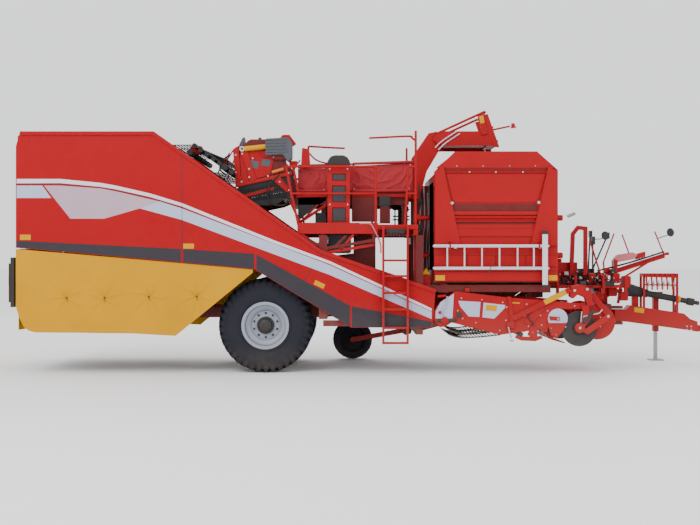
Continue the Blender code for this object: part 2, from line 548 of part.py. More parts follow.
# ------------------------------------------------- front console and arch --
node("oil_tank", "red", [
    box(3.62, 4.20, 0.40, 0.98, 1.4803, 1.86),
    rod((3.9, 0.69, 1.85), (3.9, 0.69, 1.93), 0.07, 12),
])
node("front_arch", "red", [
    bar((4.06, 0.33, 1.39), (4.10, 0.33, 2.40), 0.07, 0.07),
    bar((4.09, 0.33, 2.37), (4.20, 0.33, 2.51), 0.068, 0.07),
    bar((4.17, 0.33, 2.50), (4.36, 0.33, 2.48), 0.066, 0.07),
    bar((4.33, 0.33, 2.50), (4.33, 0.33, 1.39), 0.064, 0.07),
    box(4.02, 4.37, 0.29, 0.3797, 1.39, 1.46),
], axis=(0, 0, 0))
node("gearbox", "grey", [
    box(4.62, 4.80, 0.56, 0.94, 1.0903, 1.50),
    rod((4.78, 0.75, 1.32), (5.12, 0.75, 1.32), 0.04, 12),
    rod((4.78, 0.75, 1.32), (4.86, 0.75, 1.32), 0.12, 14),
], smooth=True)
node("hose_boom", "black", [
    box(4.62, 4.80, 0.60, 0.90, 1.5003, 1.54),
    rod((4.70, 0.75, 1.52), (4.70, 0.75, 1.66), 0.035, 10),
    rod((4.70, 0.75, 1.62), (5.96, 0.75, 2.02), 0.024, 10),
    rod((5.96, 0.75, 2.02), (5.96, 0.69, 2.02), 0.03, 10),
], smooth=True)
# stalks: foot x, y, z; top x, y, z; plate half size
STALKS = [
    (4.50, 0.47, 1.65, 4.47, 0.35, 2.26, 0.075),
    (4.55, 0.80, 1.65, 4.85, 0.78, 2.36, 0.06),
    (4.52, 0.92, 1.65, 4.60, 1.10, 2.40, 0.06),
]
stalks = [box(4.24, 4.58, 0.42, 0.96, 1.4803, 1.67),
          box(4.28, 4.54, 0.50, 0.88, 1.64, 1.74)]
for fx, fy, fz, tx, ty, tz, half in STALKS:
    stalks.append(rod((fx, fy, fz + 0.02), (tx, ty, tz), 0.016, 8))
    stalks.append(box(tx - 0.02, tx + 0.03, ty - half, ty + half, tz - half, tz + half))
node("valve_block", "black", stalks)

# --------------------------------------------------------------- drawbar ---
px, py = DRAWBAR_PIVOT
DRAWBAR_OUTLINE = [(4.95, 0.755), (5.18, 0.745), (6.39, 0.58), (6.50, 0.555), (6.50, 0.75), (6.36, 0.80),
                   (6.25, 0.90), (5.24, 1.055), (5.17, 0.975), (4.95, 0.975)]
drawbar = [
    side_plate(DRAWBAR_OUTLINE, 0.63, 0.87),
    rod((px, py, 0.755), (px, py, 0.975), 0.118, 14),
    box(6.48, 6.56, 0.68, 0.82, 0.56, 0.68),
    rod((6.62, 0.75, 0.57), (6.62, 0.75, 0.67), 0.085, 16),
    box(5.30, 5.42, 0.72, 0.78, 1.00, 1.24),                       # shaft bearing
    box(6.10, 6.16, 0.72, 0.78, 0.90, 1.065),
    box(5.48, 5.56, 0.86, 0.98, 0.82, 0.88),                       # cylinder lug
]
# jack sleeve on the left
JX, JY = 5.80, 0.935
drawbar += [
    box(JX - 0.05, JX + 0.05, JY - 0.05, JY + 0.05, 0.55, 1.22),
    box(JX - 0.06, JX + 0.06, 0.86, JY, 0.70, 0.90),
    rod((JX, JY, 1.20), (JX, JY, 1.30), 0.02, 8),
    rod((JX, JY, 1.285), (JX + 0.14, JY, 1.285), 0.014, 8),
]
# hose rack over the shaft
for x in (5.50, 6.12):
    for y in (0.645, 0.855):
        drawbar.append(box(x - 0.02, x + 0.02, y - 0.015, y + 0.015, 0.88, 1.64))
    drawbar.append(box(x - 0.019, x + 0.019, 0.645, 0.855, 1.59, 1.63))
drawbar.append(box(5.48, 6.14, 0.631, 0.659, 1.59, 1.65))
drawbar.append(box(5.48, 6.14, 0.841, 0.869, 1.59, 1.65))
node("drawbar", "red", drawbar, cuts=[rod((6.62, 0.75, 0.5), (6.62, 0.75, 0.7), 0.042, 16),
                                      box(JX - 0.036, JX + 0.036, JY - 0.036, JY + 0.036, 0.5, 1.17)],
     axis=(px, py, 0.86))
node("shaft_guard", "black", [
    rod((5.21, py, 1.343), (5.50, py, 1.29), 0.13, 16, 0.085),
    rod((5.49, py, 1.292), (6.36, py, 1.125), 0.052, 12),
    rod((6.34, py, 1.129), (6.46, py, 1.106), 0.07, 14),
    rod((6.45, py, 1.108), (6.56, py, 1.087), 0.04, 12),
], cuts=[rod((5.13, py, 1.356), (5.36, py, 1.316), 0.105, 16, 0.075),
         box(5.2997, 5.4203, 0.7197, 0.7803, 0.9, 1.2403), box(6.0997, 6.1603, 0.7197, 0.7803, 0.9, 1.125)],
     axis=(px, py, 0.86), smooth=True)

node("jack_leg", "steel", [
    box(JX - 0.03, JX + 0.03, JY - 0.03, JY + 0.03, 0.01, 0.72),
    box(JX - 0.13, JX + 0.13, JY - 0.11, JY + 0.11, 0.0, 0.02),
], axis=(JX, JY, 0.0))

# drawbar steering cylinder, on the left of the headstock
CYL_D_A = Vector((4.86, 1.10, 0.85))      # barrel pin
CYL_D_B = Vector((5.52, 1.02, 0.85))      # rod eye


def cylinder(name, start, end, split, barrel_r, rod_r, axis_dir, eye_r=0.035, eye_w=0.03):
    """Barrel and rod from the barrel's pin to the rod's eye; split is the share
    of the length that the barrel takes."""
    a, b = Vector(start), Vector(end)
    along = (b - a).normalized()
    length = (b - a).length
    pin = Vector(axis_dir).normalized()
    m = a + along * length * split
    barrel = [rod(a + along * eye_r * 0.5, m, barrel_r, 12),
              rod(a - pin * eye_w, a + pin * eye_w, eye_r, 12)]
    bore = [rod(a + along * (eye_r + 0.06), m + along * 0.05, rod_r + 0.003, 12)]
    node(name + "_barrel", "black", barrel, cuts=bore, axis=a, smooth=True)
    stem = [rod(a + along * (eye_r + 0.16), b - along * eye_r * 0.5, rod_r, 12),
            rod(b - pin * eye_w, b + pin * eye_w, eye_r - 0.006, 12)]
    node(name + "_rod", "steel", stem, axis=a, smooth=True)


cylinder("steer_cylinder", CYL_D_A, CYL_D_B, 0.60, 0.04, 0.02, (0, 0, 1))

# ------------------------------------------------------- digging intake ----
ix, iz = INTAKE_PIVOT
# tops: rear top z and the rear shoulder
def intake_plate(shoulder_z):
    return [(1.50, 0.78), (1.385, 0.92), (1.40, 1.05), (1.50, 1.20), (1.756, shoulder_z), (2.64, 1.28),
            (3.98, 1.17), (3.98, 1.09), (3.48, 1.085), (3.46, 0.86), (3.29, 0.76), (2.75, 0.69),
            (2.51, 0.655), (1.70, 0.86), (1.60, 0.80)]


intake = [
    side_plate(intake_plate(1.385), INTAKE_Y0, -1.37),
    side_plate(intake_plate(1.30), 0.22, INTAKE_Y1),
]
# cross tubes: x, z, radius
for x, z, r in ((3.83, 1.13, 0.035), (2.62, 1.22, 0.035), (2.90, 0.74, 0.04), (1.58, 0.90, 0.028)):
    intake.append(rod((x, -1.40, z), (x, 0.24, z), r, 10))
# share frame and shares below the front edge of the web
intake += [
    box(3.20, 3.30, -1.40, 0.245, 0.70, 0.78),
    side_plate([(3.22, 0.72), (3.40, 0.56), (3.62, 0.50), (3.62, 0.52), (3.42, 0.60), (3.30, 0.74)], -1.25, -0.65),
    side_plate([(3.22, 0.72), (3.40, 0.56), (3.62, 0.50), (3.62, 0.52), (3.42, 0.60), (3.30, 0.74)], -0.50, 0.10),
]
# roller arms and disc arms, beside each row: y0, y1
for y0, y1 in ((-1.32, -1.295), (-0.5875, -0.5625), (0.145, 0.17)):
    intake.append(side_plate([(3.78, 1.10), (3.90, 1.10), (4.21, 0.90), (4.21, 0.83), (4.13, 0.83), (3.80, 1.04)], y0, y1))
# coulter arms outside the discs: y0, y1
for y0, y1, b0, b1 in ((-1.455, -1.435, -1.44, -1.39), (0.275, 0.295, 0.24, 0.28)):
    intake.append(side_plate([(3.78, 0.72), (3.86, 0.71), (4.02, 0.95), (3.97, 1.15), (3.86, 1.15), (3.88, 0.98)], y0, y1))
    intake.append(box(3.86, 3.97, b0, b1, 1.09, 1.15))
for y0, y1 in ((-1.19, -1.165), (-1.075, -1.05)):                     # lift cylinder's lugs
    intake.append(side_plate([(2.53, 1.11), (2.59, 1.11), (2.65, 1.22), (2.60, 1.25)], y0, y1))
node("intake_frame", "red", intake, axis=(ix, -0.575, iz))
node("intake_web", "black", [side_plate([
    (1.66, 0.98), (1.58, 1.06), (1.64, 1.16), (1.78, 1.18), (3.16, 0.98), (3.22, 0.89), (3.12, 0.83),
    (2.40, 0.84), (1.90, 0.93)], -1.355, 0.205)],
     axis=(ix, -0.575, iz))

# turned pieces that spin on the intake: name, colour, x, z, y of middle,
# profile of (offset, radius), sides
HUBBED = [(-0.006, 0), (-0.006, 0.296), (0.006, 0.296), (0.006, 0.11), (0.035, 0.09), (0.035, 0)]
DIABOLO = [(-0.348, 0), (-0.348, 0.03), (-0.33, 0.03), (-0.33, 0.300), (-0.29, 0.303), (-0.12, 0.215), (0.12, 0.215), (0.29, 0.303),
           (0.33, 0.300), (0.33, 0.03), (0.348, 0.03), (0.348, 0)]
SPINNING = [
    ("coulter_right", "steel", 3.83, 0.758, -1.384, HUBBED, -1, 28),
    ("coulter_left", "steel", 3.83, 0.758, 0.226, HUBBED, 1, 28),
    ("ridge_roller_right", "red", 4.165, 0.866, -0.942, DIABOLO, -1, 24),
    ("ridge_roller_left", "red", 4.165, 0.866, -0.209, DIABOLO, 1, 24),
]
for name, colour, x, z, y, profile, outward, sides in SPINNING:
    node(name, colour, [turned_y(profile, x, z, y, outward, sides)], axis=(x, y, z), smooth=True)

# intake lift cylinders: y of the cylinder
for word, y in (("right", -1.12),):
    cylinder("lift_cylinder_" + word, (1.70, y, 1.42 - 0.135), (2.56, y, 1.14), 0.55, 0.035, 0.018, (0, 1, 0))

# -------------------------------------------------------- support wheel ----
sx, sz = SUPPORT_PIVOT
wx, wz = SUPPORT_AXLE
node("support_arm", "red", [
    bar((sx, 1.06, sz), (wx, 1.06, wz), 0.055, 0.09),
    rod((sx, 1.0253, sz), (sx, 1.10, sz), 0.065, 12),
    rod((wx, 1.035, wz), (wx, 1.15, wz), 0.05, 12),
], axis=(sx, 1.06, sz), smooth=True)
SUPPORT_PROFILE = [(-0.075, 0), (-0.075, 0.08), (-0.02, 0.09), (-0.02, 0.22), (-0.08, 0.235),
                   (-0.105, 0.26), (-0.11, 0.32), (-0.07, 0.372), (0.0, SUPPORT_R), (0.07, 0.372), (0.11, 0.32),
                   (0.105, 0.26), (0.08, 0.235), (0.02, 0.22), (0.02, 0.09), (0.055, 0.07), (0.055, 0)]
node("support_wheel", "rubber", [turned_y(SUPPORT_PROFILE, wx, wz, 1.2303, 1, 24)],
     axis=(wx, 1.2303, wz), smooth=True)
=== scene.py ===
import math
import random

import bmesh
import bpy
from mathutils import Matrix, Vector, noise


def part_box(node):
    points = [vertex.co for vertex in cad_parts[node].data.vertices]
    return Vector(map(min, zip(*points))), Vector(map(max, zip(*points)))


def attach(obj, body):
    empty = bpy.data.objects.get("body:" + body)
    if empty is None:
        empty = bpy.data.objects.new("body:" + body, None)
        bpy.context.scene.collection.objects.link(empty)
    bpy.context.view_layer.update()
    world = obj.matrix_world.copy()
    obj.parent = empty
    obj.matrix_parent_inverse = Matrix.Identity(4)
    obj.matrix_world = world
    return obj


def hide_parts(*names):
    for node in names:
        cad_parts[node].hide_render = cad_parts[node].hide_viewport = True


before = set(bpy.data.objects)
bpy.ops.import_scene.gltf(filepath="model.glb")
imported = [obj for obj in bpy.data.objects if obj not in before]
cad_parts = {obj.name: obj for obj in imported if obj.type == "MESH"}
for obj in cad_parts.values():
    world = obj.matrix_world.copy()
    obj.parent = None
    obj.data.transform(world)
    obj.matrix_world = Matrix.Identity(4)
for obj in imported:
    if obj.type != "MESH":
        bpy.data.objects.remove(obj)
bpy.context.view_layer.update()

OX, OY = 0.5017, -0.05          # drafting line to model frame
SIDES = ((-1, "right"), (1, "left"))


def P(x, y, z):
    return Vector((x - OX, y - OY, z))


# ---------------------------------------------------------------- camera ---
CAM = bpy.data.cameras.new("camera")
CAM.sensor_width = 36.0
CAM.lens = 36.0 * 1020.0 / 700.0
cam = bpy.data.objects.new("camera", CAM)
bpy.context.scene.collection.objects.link(cam)
cam.location = P(0.0, -18.44, 1.95)
cam.rotation_euler = (math.radians(90), 0, 0)
CAM.shift_y = -(262.5 - 257.4) / 700.0
CAM.clip_end = 400
bpy.context.scene.camera = cam


# ------------------------------------------------------------- materials ---
def finish(name, rgb, rough=0.5, metal=0.0, var=0.12, scale=2.5, dust=0.0, dust_z=(0.2, 1.3),
           bump=0.0, bump_scale=60.0, edge=0.0, edge_rgb=None, coat=0.0, sheen=0.0, spec=0.5,
           weave=0.0, round_r=0.0):
    mat = bpy.data.materials.new(name)
    mat.use_nodes = True
    nt = mat.node_tree
    n, l = nt.nodes, nt.links
    bsdf = n["Principled BSDF"]
    bsdf.inputs["Metallic"].default_value = metal
    bsdf.inputs["Coat Weight"].default_value = coat
    bsdf.inputs["Coat Roughness"].default_value = 0.12
    bsdf.inputs["Sheen Weight"].default_value = sheen
    bsdf.inputs["Specular IOR Level"].default_value = spec
    tc = n.new("ShaderNodeTexCoord")
    big = n.new("ShaderNodeTexNoise"); big.inputs["Scale"].default_value = scale
    big.inputs["Detail"].default_value = 6
    l.new(tc.outputs["Object"], big.inputs["Vector"])
    small = n.new("ShaderNodeTexNoise"); small.inputs["Scale"].default_value = bump_scale
    small.inputs["Detail"].default_value = 3
    l.new(tc.outputs["Object"], small.inputs["Vector"])
    mix = n.new("ShaderNodeMix"); mix.data_type = "RGBA"
    lo = [max(0.0, c * (1 - var)) for c in rgb]
    hi = [min(1.0, c * (1 + var) + 0.01 * var) for c in rgb]
    mix.inputs[6].default_value = (*lo, 1); mix.inputs[7].default_value = (*hi, 1)
    l.new(big.outputs["Fac"], mix.inputs[0])
    colour = mix.outputs[2]
    mask = None
    if dust:
        sep = n.new("ShaderNodeSeparateXYZ"); l.new(tc.outputs["Object"], sep.inputs[0])
        ramp = n.new("ShaderNodeMapRange")
        ramp.inputs[1].default_value = dust_z[0]; ramp.inputs[2].default_value = dust_z[1]
        ramp.inputs[3].default_value = 1.0; ramp.inputs[4].default_value = 0.12
        l.new(sep.outputs[2], ramp.inputs[0])
        spots = n.new("ShaderNodeTexNoise"); spots.inputs["Scale"].default_value = 7.0
        spots.inputs["Detail"].default_value = 8; spots.inputs["Roughness"].default_value = 0.7
        l.new(tc.outputs["Object"], spots.inputs["Vector"])
        cut = n.new("ShaderNodeMapRange")
        cut.inputs[1].default_value = 0.38; cut.inputs[2].default_value = 0.68
        cut.inputs[3].default_value = 0.15; cut.inputs[4].default_value = dust
        l.new(spots.outputs["Fac"], cut.inputs[0])
        mul = n.new("ShaderNodeMath"); mul.operation = "MULTIPLY"
        l.new(ramp.outputs[0], mul.inputs[0]); l.new(cut.outputs[0], mul.inputs[1])
        dm = n.new("ShaderNodeMix"); dm.data_type = "RGBA"
        dm.inputs[7].default_value = (0.33, 0.25, 0.17, 1)
        l.new(colour, dm.inputs[6]); l.new(mul.outputs[0], dm.inputs[0])
        colour = dm.outputs[2]
        mask = mul.outputs[0]
    normal = None
    if round_r or edge:
        bev = n.new("ShaderNodeBevel"); bev.samples = 4
        bev.inputs["Radius"].default_value = round_r or 0.006
        normal = bev.outputs[0]
        if edge:
            geo = n.new("ShaderNodeNewGeometry")
            dot = n.new("ShaderNodeVectorMath"); dot.operation = "DOT_PRODUCT"
            l.new(bev.outputs[0], dot.inputs[0]); l.new(geo.outputs["Normal"], dot.inputs[1])
            er = n.new("ShaderNodeMapRange")
            er.inputs[1].default_value = 0.99; er.inputs[2].default_value = 0.80
            er.inputs[3].default_value = 0.0; er.inputs[4].default_value = edge
            l.new(dot.outputs["Value"], er.inputs[0])
            em = n.new("ShaderNodeMath"); em.operation = "MULTIPLY"
            l.new(er.outputs[0], em.inputs[0]); l.new(small.outputs["Fac"], em.inputs[1])
            ec = n.new("ShaderNodeMix"); ec.data_type = "RGBA"
            ec.inputs[7].default_value = (*(edge_rgb or (0.5, 0.42, 0.38)), 1)
            l.new(colour, ec.inputs[6]); l.new(em.outputs[0], ec.inputs[0])
            colour = ec.outputs[2]
    l.new(colour, bsdf.inputs["Base Color"])
    rr = n.new("ShaderNodeMapRange")
    rr.inputs[1].default_value = 0.3; rr.inputs[2].default_value = 0.7
    rr.inputs[3].default_value = max(0.02, rough - 0.07); rr.inputs[4].default_value = min(1, rough + 0.10)
    l.new(big.outputs["Fac"], rr.inputs[0])
    rough_out = rr.outputs[0]
    if mask is not None:
        ra = n.new("ShaderNodeMath"); ra.operation = "MULTIPLY_ADD"; ra.use_clamp = True
        ra.inputs[1].default_value = 0.35
        l.new(mask, ra.inputs[0]); l.new(rough_out, ra.inputs[2])
        rough_out = ra.outputs[0]
    l.new(rough_out, bsdf.inputs["Roughness"])
    height = small.outputs["Fac"]
    if weave:
        wav = n.new("ShaderNodeTexWave"); wav.inputs["Scale"].default_value = weave
        wav.bands_direction = "X"; l.new(tc.outputs["Object"], wav.inputs["Vector"])
        wav2 = n.new("ShaderNodeTexWave"); wav2.inputs["Scale"].default_value = weave
        wav2.bands_direction = "Z"; l.new(tc.outputs["Object"], wav2.inputs["Vector"])
        add = n.new("ShaderNodeMath"); add.operation = "ADD"
        l.new(wav.outputs["Fac"], add.inputs[0]); l.new(wav2.outputs["Fac"], add.inputs[1])
        add2 = n.new("ShaderNodeMath"); add2.operation = "ADD"
        l.new(add.outputs[0], add2.inputs[0]); l.new(small.outputs["Fac"], add2.inputs[1])
        height = add2.outputs[0]
    if bump:
        b = n.new("ShaderNodeBump"); b.inputs["Strength"].default_value = bump
        b.inputs["Distance"].default_value = 0.004
        l.new(height, b.inputs["Height"])
        if normal:
            l.new(normal, b.inputs["Normal"])
        normal = b.outputs[0]
    if normal:
        l.new(normal, bsdf.inputs["Normal"])
    return mat


M = {
    "red": finish("red_paint", (0.33, 0.0, 0.004), 0.42, dust=0.16, dust_z=(0.2, 1.2), bump=0.05, bump_scale=30, edge=0.5,
                  edge_rgb=(0.44, 0.12, 0.11), coat=0.03, spec=0.13, round_r=0.008),
    "panel": finish("panel_paint", (0.34, 0.0, 0.005), 0.42, var=0.07, scale=0.7, dust=0.05, bump=0.02, bump_scale=5,
                    edge=0.6, edge_rgb=(0.52, 0.17, 0.17), coat=0.03, spec=0.10, round_r=0.012),
    # painted shade: the red paint darkened to stand for the shade on inner and tucked-away parts; its dust and lighter
    # worn edges are dirt and wear
    "dark_red": finish("red_paint_in_painted_shade", (0.11, 0.0008, 0.003), 0.5, dust=0.45, bump=0.12, edge=0.5, edge_rgb=(0.34, 0.12, 0.10),
                       spec=0.25, round_r=0.008),
    "black": finish("black_paint", (0.014, 0.014, 0.017), 0.5, dust=0.25, bump=0.10, edge=0.4,
                    edge_rgb=(0.16, 0.155, 0.15), spec=0.3, round_r=0.004),
    "rubber": finish("black_rubber", (0.014, 0.014, 0.016), 0.75, dust=0.22, bump=0.2, bump_scale=120, spec=0.3),
    "tyre": finish("tyre_rubber", (0.013, 0.0145, 0.023), 0.80, var=0.25, scale=4, dust=0.06, dust_z=(0.0, 0.5), bump=0.35,
                   bump_scale=90, spec=0.18),
    "rim": finish("rim_silver", (0.27, 0.30, 0.37), 0.42, 0.35, dust=0.18, bump=0.08, bump_scale=25, round_r=0.006),
    "steel": finish("worn_steel", (0.30, 0.30, 0.31), 0.38, 0.85, var=0.3, scale=12, dust=0.35, bump=0.15, bump_scale=40),
    "chrome": finish("chromed_rod", (0.70, 0.71, 0.74), 0.14, 1.0, var=0.04, dust=0.10, bump=0.02),
    "alu": finish("aluminium", (0.66, 0.64, 0.70), 0.34, 0.65, var=0.08, dust=0.12, bump=0.08, bump_scale=90),
    "zinc": finish("zinc_bolt", (0.46, 0.46, 0.47), 0.4, 0.6, var=0.15, dust=0.2, bump=0.1),
    "grey": finish("grey_paint", (0.060, 0.066, 0.080), 0.5, dust=0.25, bump=0.08, edge=0.4, edge_rgb=(0.3, 0.3, 0.31),
                   spec=0.3, round_r=0.006),
    "band": finish("dark_band", (0.024, 0.0195, 0.028), 0.46, dust=0.05, dust_z=(0.2, 1.1), bump=0.04, bump_scale=10, spec=0.25),
    "light_stripe": finish("light_stripe", (0.40, 0.45, 0.60), 0.42, var=0.05, dust=0.10, bump=0.03, bump_scale=10, spec=0.25),
    "pale_stripe": finish("pale_stripe", (0.66, 0.62, 0.70), 0.42, var=0.05, dust=0.10, bump=0.03, bump_scale=10, spec=0.25),
    "gap": finish("stripe_gap", (0.22, 0.001, 0.006), 0.4, dust=0.1, bump=0.03, spec=0.25),
    "yellow": finish("yellow_plate", (0.56, 0.27, 0.0), 0.45, var=0.08, dust=0.08, dust_z=(0.2, 1.0), bump=0.05, spec=0.08),
    "canvas": finish("yellow_canvas", (0.56, 0.265, 0.0), 0.70, var=0.12, scale=1.6, dust=0.10, dust_z=(0.2, 0.85),
                     bump=0.16, bump_scale=220, weave=260, spec=0.06),
    "red_canvas": finish("red_canvas", (0.32, 0.0006, 0.008), 0.55, var=0.12, dust=0.12, bump=0.20, bump_scale=220,
                         weave=260, sheen=0.08, spec=0.35),
    "pink": finish("pink_roll", (0.50, 0.12, 0.13), 0.6, var=0.1, dust=0.2, bump=0.15, bump_scale=120),
    "window": finish("dark_inset", (0.030, 0.022, 0.028), 0.35, var=0.2, dust=0.10, bump=0.03, coat=0.1, spec=0.3),
    "amber": finish("amber_lens", (0.85, 0.22, 0.0), 0.2, var=0.05, dust=0.1, bump=0.15, bump_scale=200, coat=0.5),
    "red_lens": finish("red_lens", (0.45, 0.002, 0.002), 0.2, var=0.05, dust=0.1, bump=0.15, bump_scale=200, coat=0.5),
    "glass": finish("lamp_glass", (0.06, 0.065, 0.07), 0.1, 0.2, var=0.05, dust=0.1, bump=0.1, bump_scale=150, coat=0.8),
    "webbar": finish("web_bar", (0.055, 0.052, 0.052), 0.5, 0.3, var=0.25, scale=9, dust=0.45, dust_z=(0.3, 4.5), bump=0.15),
    "belt": finish("web_belt", (0.016, 0.015, 0.015), 0.8, dust=0.35, dust_z=(0.3, 4.5), bump=0.3, bump_scale=150, spec=0.25),
    "disc": finish("dark_disc", (0.010, 0.011, 0.015), 0.42, var=0.2, dust=0.06, bump=0.05, spec=0.3),
    "orange": finish("orange_paint", (0.62, 0.10, 0.0), 0.45, dust=0.2, bump=0.06),
}

# main frame, separator and picking table take the red that is darkened as painted shade
CAD_FINISH = {
    "main_frame": "dark_red", "separator": "dark_red", "rear_hood": "panel", "gearbox": "red",
    "shaft_guard": "rubber", "hose_boom": "red", "valve_block": "black", "spare_ladder": "alu",
    "jack_leg": "steel", "rim_right": "rim", "rim_left": "rim", "coulter_right": "disc", "coulter_left": "disc",
    "knuckle_right": "black", "knuckle_left": "black", "steer_cylinder_barrel": "black",
    "steer_cylinder_rod": "chrome", "lift_cylinder_right_barrel": "black", "lift_cylinder_right_rod": "chrome",
    "support_wheel": "tyre", "lamp_bracket_right": "black", "lamp_bracket_left": "black",
    "picking_table": "dark_red",
}
for name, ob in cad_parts.items():
    key = CAD_FINISH.get(name)
    if key is None:
        key = ("panel" if name.startswith("side_panel") else "tyre" if name.startswith("tyre") else
               "canvas" if name.startswith("curtain") else "red_canvas" if name.startswith("canvas") else
               "belt" if name.startswith("web") or name in ("elevator", "intake_web") else "red")
    ob.data.materials.clear()
    ob.data.materials.append(M[key])


# ---------------------------------------------------------- shape builder ---
class Kit:
    """Shapes of one finish on one body, gathered into one mesh."""

    def __init__(self, name, mat, body="chassis"):
        self.name, self.mat, self.body = name, mat, body
        self.bm = bmesh.new()

    def take(self, verts, faces, bevel=0.0, segments=2):
        bm = bmesh.new()
        vs = [bm.verts.new(v) for v in verts]
        for f in faces:
            bm.faces.new([vs[i] for i in f])
        bmesh.ops.recalc_face_normals(bm, faces=bm.faces)
        if bevel:
            edges = [e for e in bm.edges if len(e.link_faces) == 2 and e.calc_face_angle(0) > 0.45]
            bmesh.ops.bevel(bm, geom=edges, offset=bevel, segments=segments, affect="EDGES", clamp_overlap=True)
        tmp = bpy.data.meshes.new("tmp")
        bm.to_mesh(tmp); bm.free()
        self.bm.from_mesh(tmp)
        bpy.data.meshes.remove(tmp)
        return self

    def loft(self, a, b, bevel=0.0):
        n = len(a)
        faces = [list(range(n))[::-1], list(range(n, 2 * n))] + [[i, (i + 1) % n, n + (i + 1) % n, n + i] for i in range(n)]
        return self.take(list(a) + list(b), faces, bevel)

    def prism(self, outline, y0, y1, bevel=0.0):
        return self.loft([(x, y0, z) for x, z in outline], [(x, y1, z) for x, z in outline], bevel)

    def prism_x(self, outline, x0, x1, bevel=0.0):
        return self.loft([(x0, y, z) for y, z in outline], [(x1, y, z) for y, z in outline], bevel)

    def box(self, x0, x1, y0, y1, z0, z1, bevel=0.004):
        return self.prism([(x0, z0), (x1, z0), (x1, z1), (x0, z1)], y0, y1, bevel)

    def rod(self, a, b, r, r2=None, n=16, bevel=0.0):
        a, b = Vector(a), Vector(b)
        d = (b - a).normalized()
        s = d.orthogonal().normalized(); u = d.cross(s)
        r2 = r if r2 is None else r2
        ring = [2 * math.pi * i / n for i in range(n)]
        return self.loft([a + r * (math.cos(t) * s + math.sin(t) * u) for t in ring],
                         [b + r2 * (math.cos(t) * s + math.sin(t) * u) for t in ring], bevel)

    def bar(self, a, b, w, h, bevel=0.003):
        a, b = Vector(a), Vector(b)
        d = (b - a).normalized()
        s = d.cross(Vector((0, 0, 1)))
        s = s.normalized() if s.length > 0.01 else Vector((0, 1, 0))
        u = s.cross(d)
        c = [(-1, -1), (1, -1), (1, 1), (-1, 1)]
        return self.loft([a + s * w / 2 * i + u * h / 2 * j for i, j in c],
                         [b + s * w / 2 * i + u * h / 2 * j for i, j in c], bevel)

    def tube(self, points, r, n=10, steps=6, closed=False):
        pts = smooth_path([Vector(p) for p in points], steps, closed)
        m = len(pts)
        d = (pts[1] - pts[0]).normalized()
        s = d.orthogonal().normalized()
        verts, faces = [], []
        for i, p in enumerate(pts):
            if closed:
                d = (pts[(i + 1) % m] - pts[i - 1]).normalized()
            else:
                d = (pts[min(i + 1, m - 1)] - pts[max(i - 1, 0)]).normalized()
            s = (s - d * s.dot(d)).normalized()
            u = d.cross(s)
            verts += [p + r * (math.cos(2 * math.pi * k / n) * s + math.sin(2 * math.pi * k / n) * u) for k in range(n)]
        for i in range(m if closed else m - 1):
            j = (i + 1) % m
            for k in range(n):
                k2 = (k + 1) % n
                faces.append([i * n + k, i * n + k2, j * n + k2, j * n + k])
        if not closed:
            faces += [list(range(n))[::-1], [(m - 1) * n + k for k in range(n)]]
        return self.take(verts, faces)

    def turn(self, profile, centre, axis, n=32):
        """Closed (offset, radius) profile turned about an axis."""
        c, d = Vector(centre), Vector(axis).normalized()
        s = d.orthogonal().normalized(); u = d.cross(s)
        verts, rings, faces = [], [], []
        for off, rad in profile:
            if rad == 0:
                rings.append([len(verts)]); verts.append(c + d * off)
            else:
                rings.append(list(range(len(verts), len(verts) + n)))
                verts += [c + d * off + rad * (math.cos(2 * math.pi * k / n) * s + math.sin(2 * math.pi * k / n) * u)
                          for k in range(n)]
        pairs = list(zip(rings, rings[1:]))
        if profile[0][1] and profile[-1][1]:
            pairs.append((rings[-1], rings[0]))
        for a, b in pairs:
            for i in range(n):
                j = (i + 1) % n
                if len(a) == 1 and len(b) == 1:
                    continue
                if len(a) == 1:
                    faces.append([a[0], b[i], b[j]])
                elif len(b) == 1:
                    faces.append([a[i], b[0], a[j]])
                else:
                    faces.append([a[i], b[i], b[j], a[j]])
        return self.take(verts, faces)

    def bolt(self, at, normal, r=0.012, h=0.010):
        at, nrm = Vector(at), Vector(normal).normalized()
        r *= 0.72
        self.rod(at - nrm * 0.002, at + nrm * 0.003, r * 1.45, n=12)
        self.rod(at, at + nrm * h, r, n=6)
        return self

    def done(self, angle=32, piece_of=None):
        bm = self.bm
        bmesh.ops.translate(bm, verts=bm.verts, vec=(-OX, -OY, 0))
        mesh = bpy.data.meshes.new(self.name)
        bm.to_mesh(mesh); bm.free()
        mesh.materials.append(M[self.mat])
        mesh.shade_smooth()
        mesh.set_sharp_from_angle(angle=math.radians(angle))
        ob = bpy.data.objects.new(self.name, mesh)
        bpy.context.scene.collection.objects.link(ob)
        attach(ob, self.body)
        return ob


def smooth_path(pts, steps, closed=False):
    if len(pts) < 3:
        return pts
    out, m = [], len(pts)
    for i in range(m if closed else m - 1):
        p1, p2 = pts[i], pts[(i + 1) % m]
        p0 = pts[i - 1] if (i or closed) else p1 * 2 - p2
        p3 = pts[(i + 2) % m] if (closed or i + 2 < m) else p2 * 2 - p1
        for k in range(steps):
            t = k / steps
            out.append(0.5 * ((2 * p1) + (p2 - p0) * t + (2 * p0 - 5 * p1 + 4 * p2 - p3) * t * t
                              + (3 * p1 - p0 - 3 * p2 + p3) * t ** 3))
    if not closed:
        out.append(pts[-1])
    return out


def lerp_at(table, x):
    for (x0, z0), (x1, z1) in zip(table, table[1:]):
        if x <= x1:
            return z0 + (z1 - z0) * (x - x0) / (x1 - x0)
    return table[-1][1]


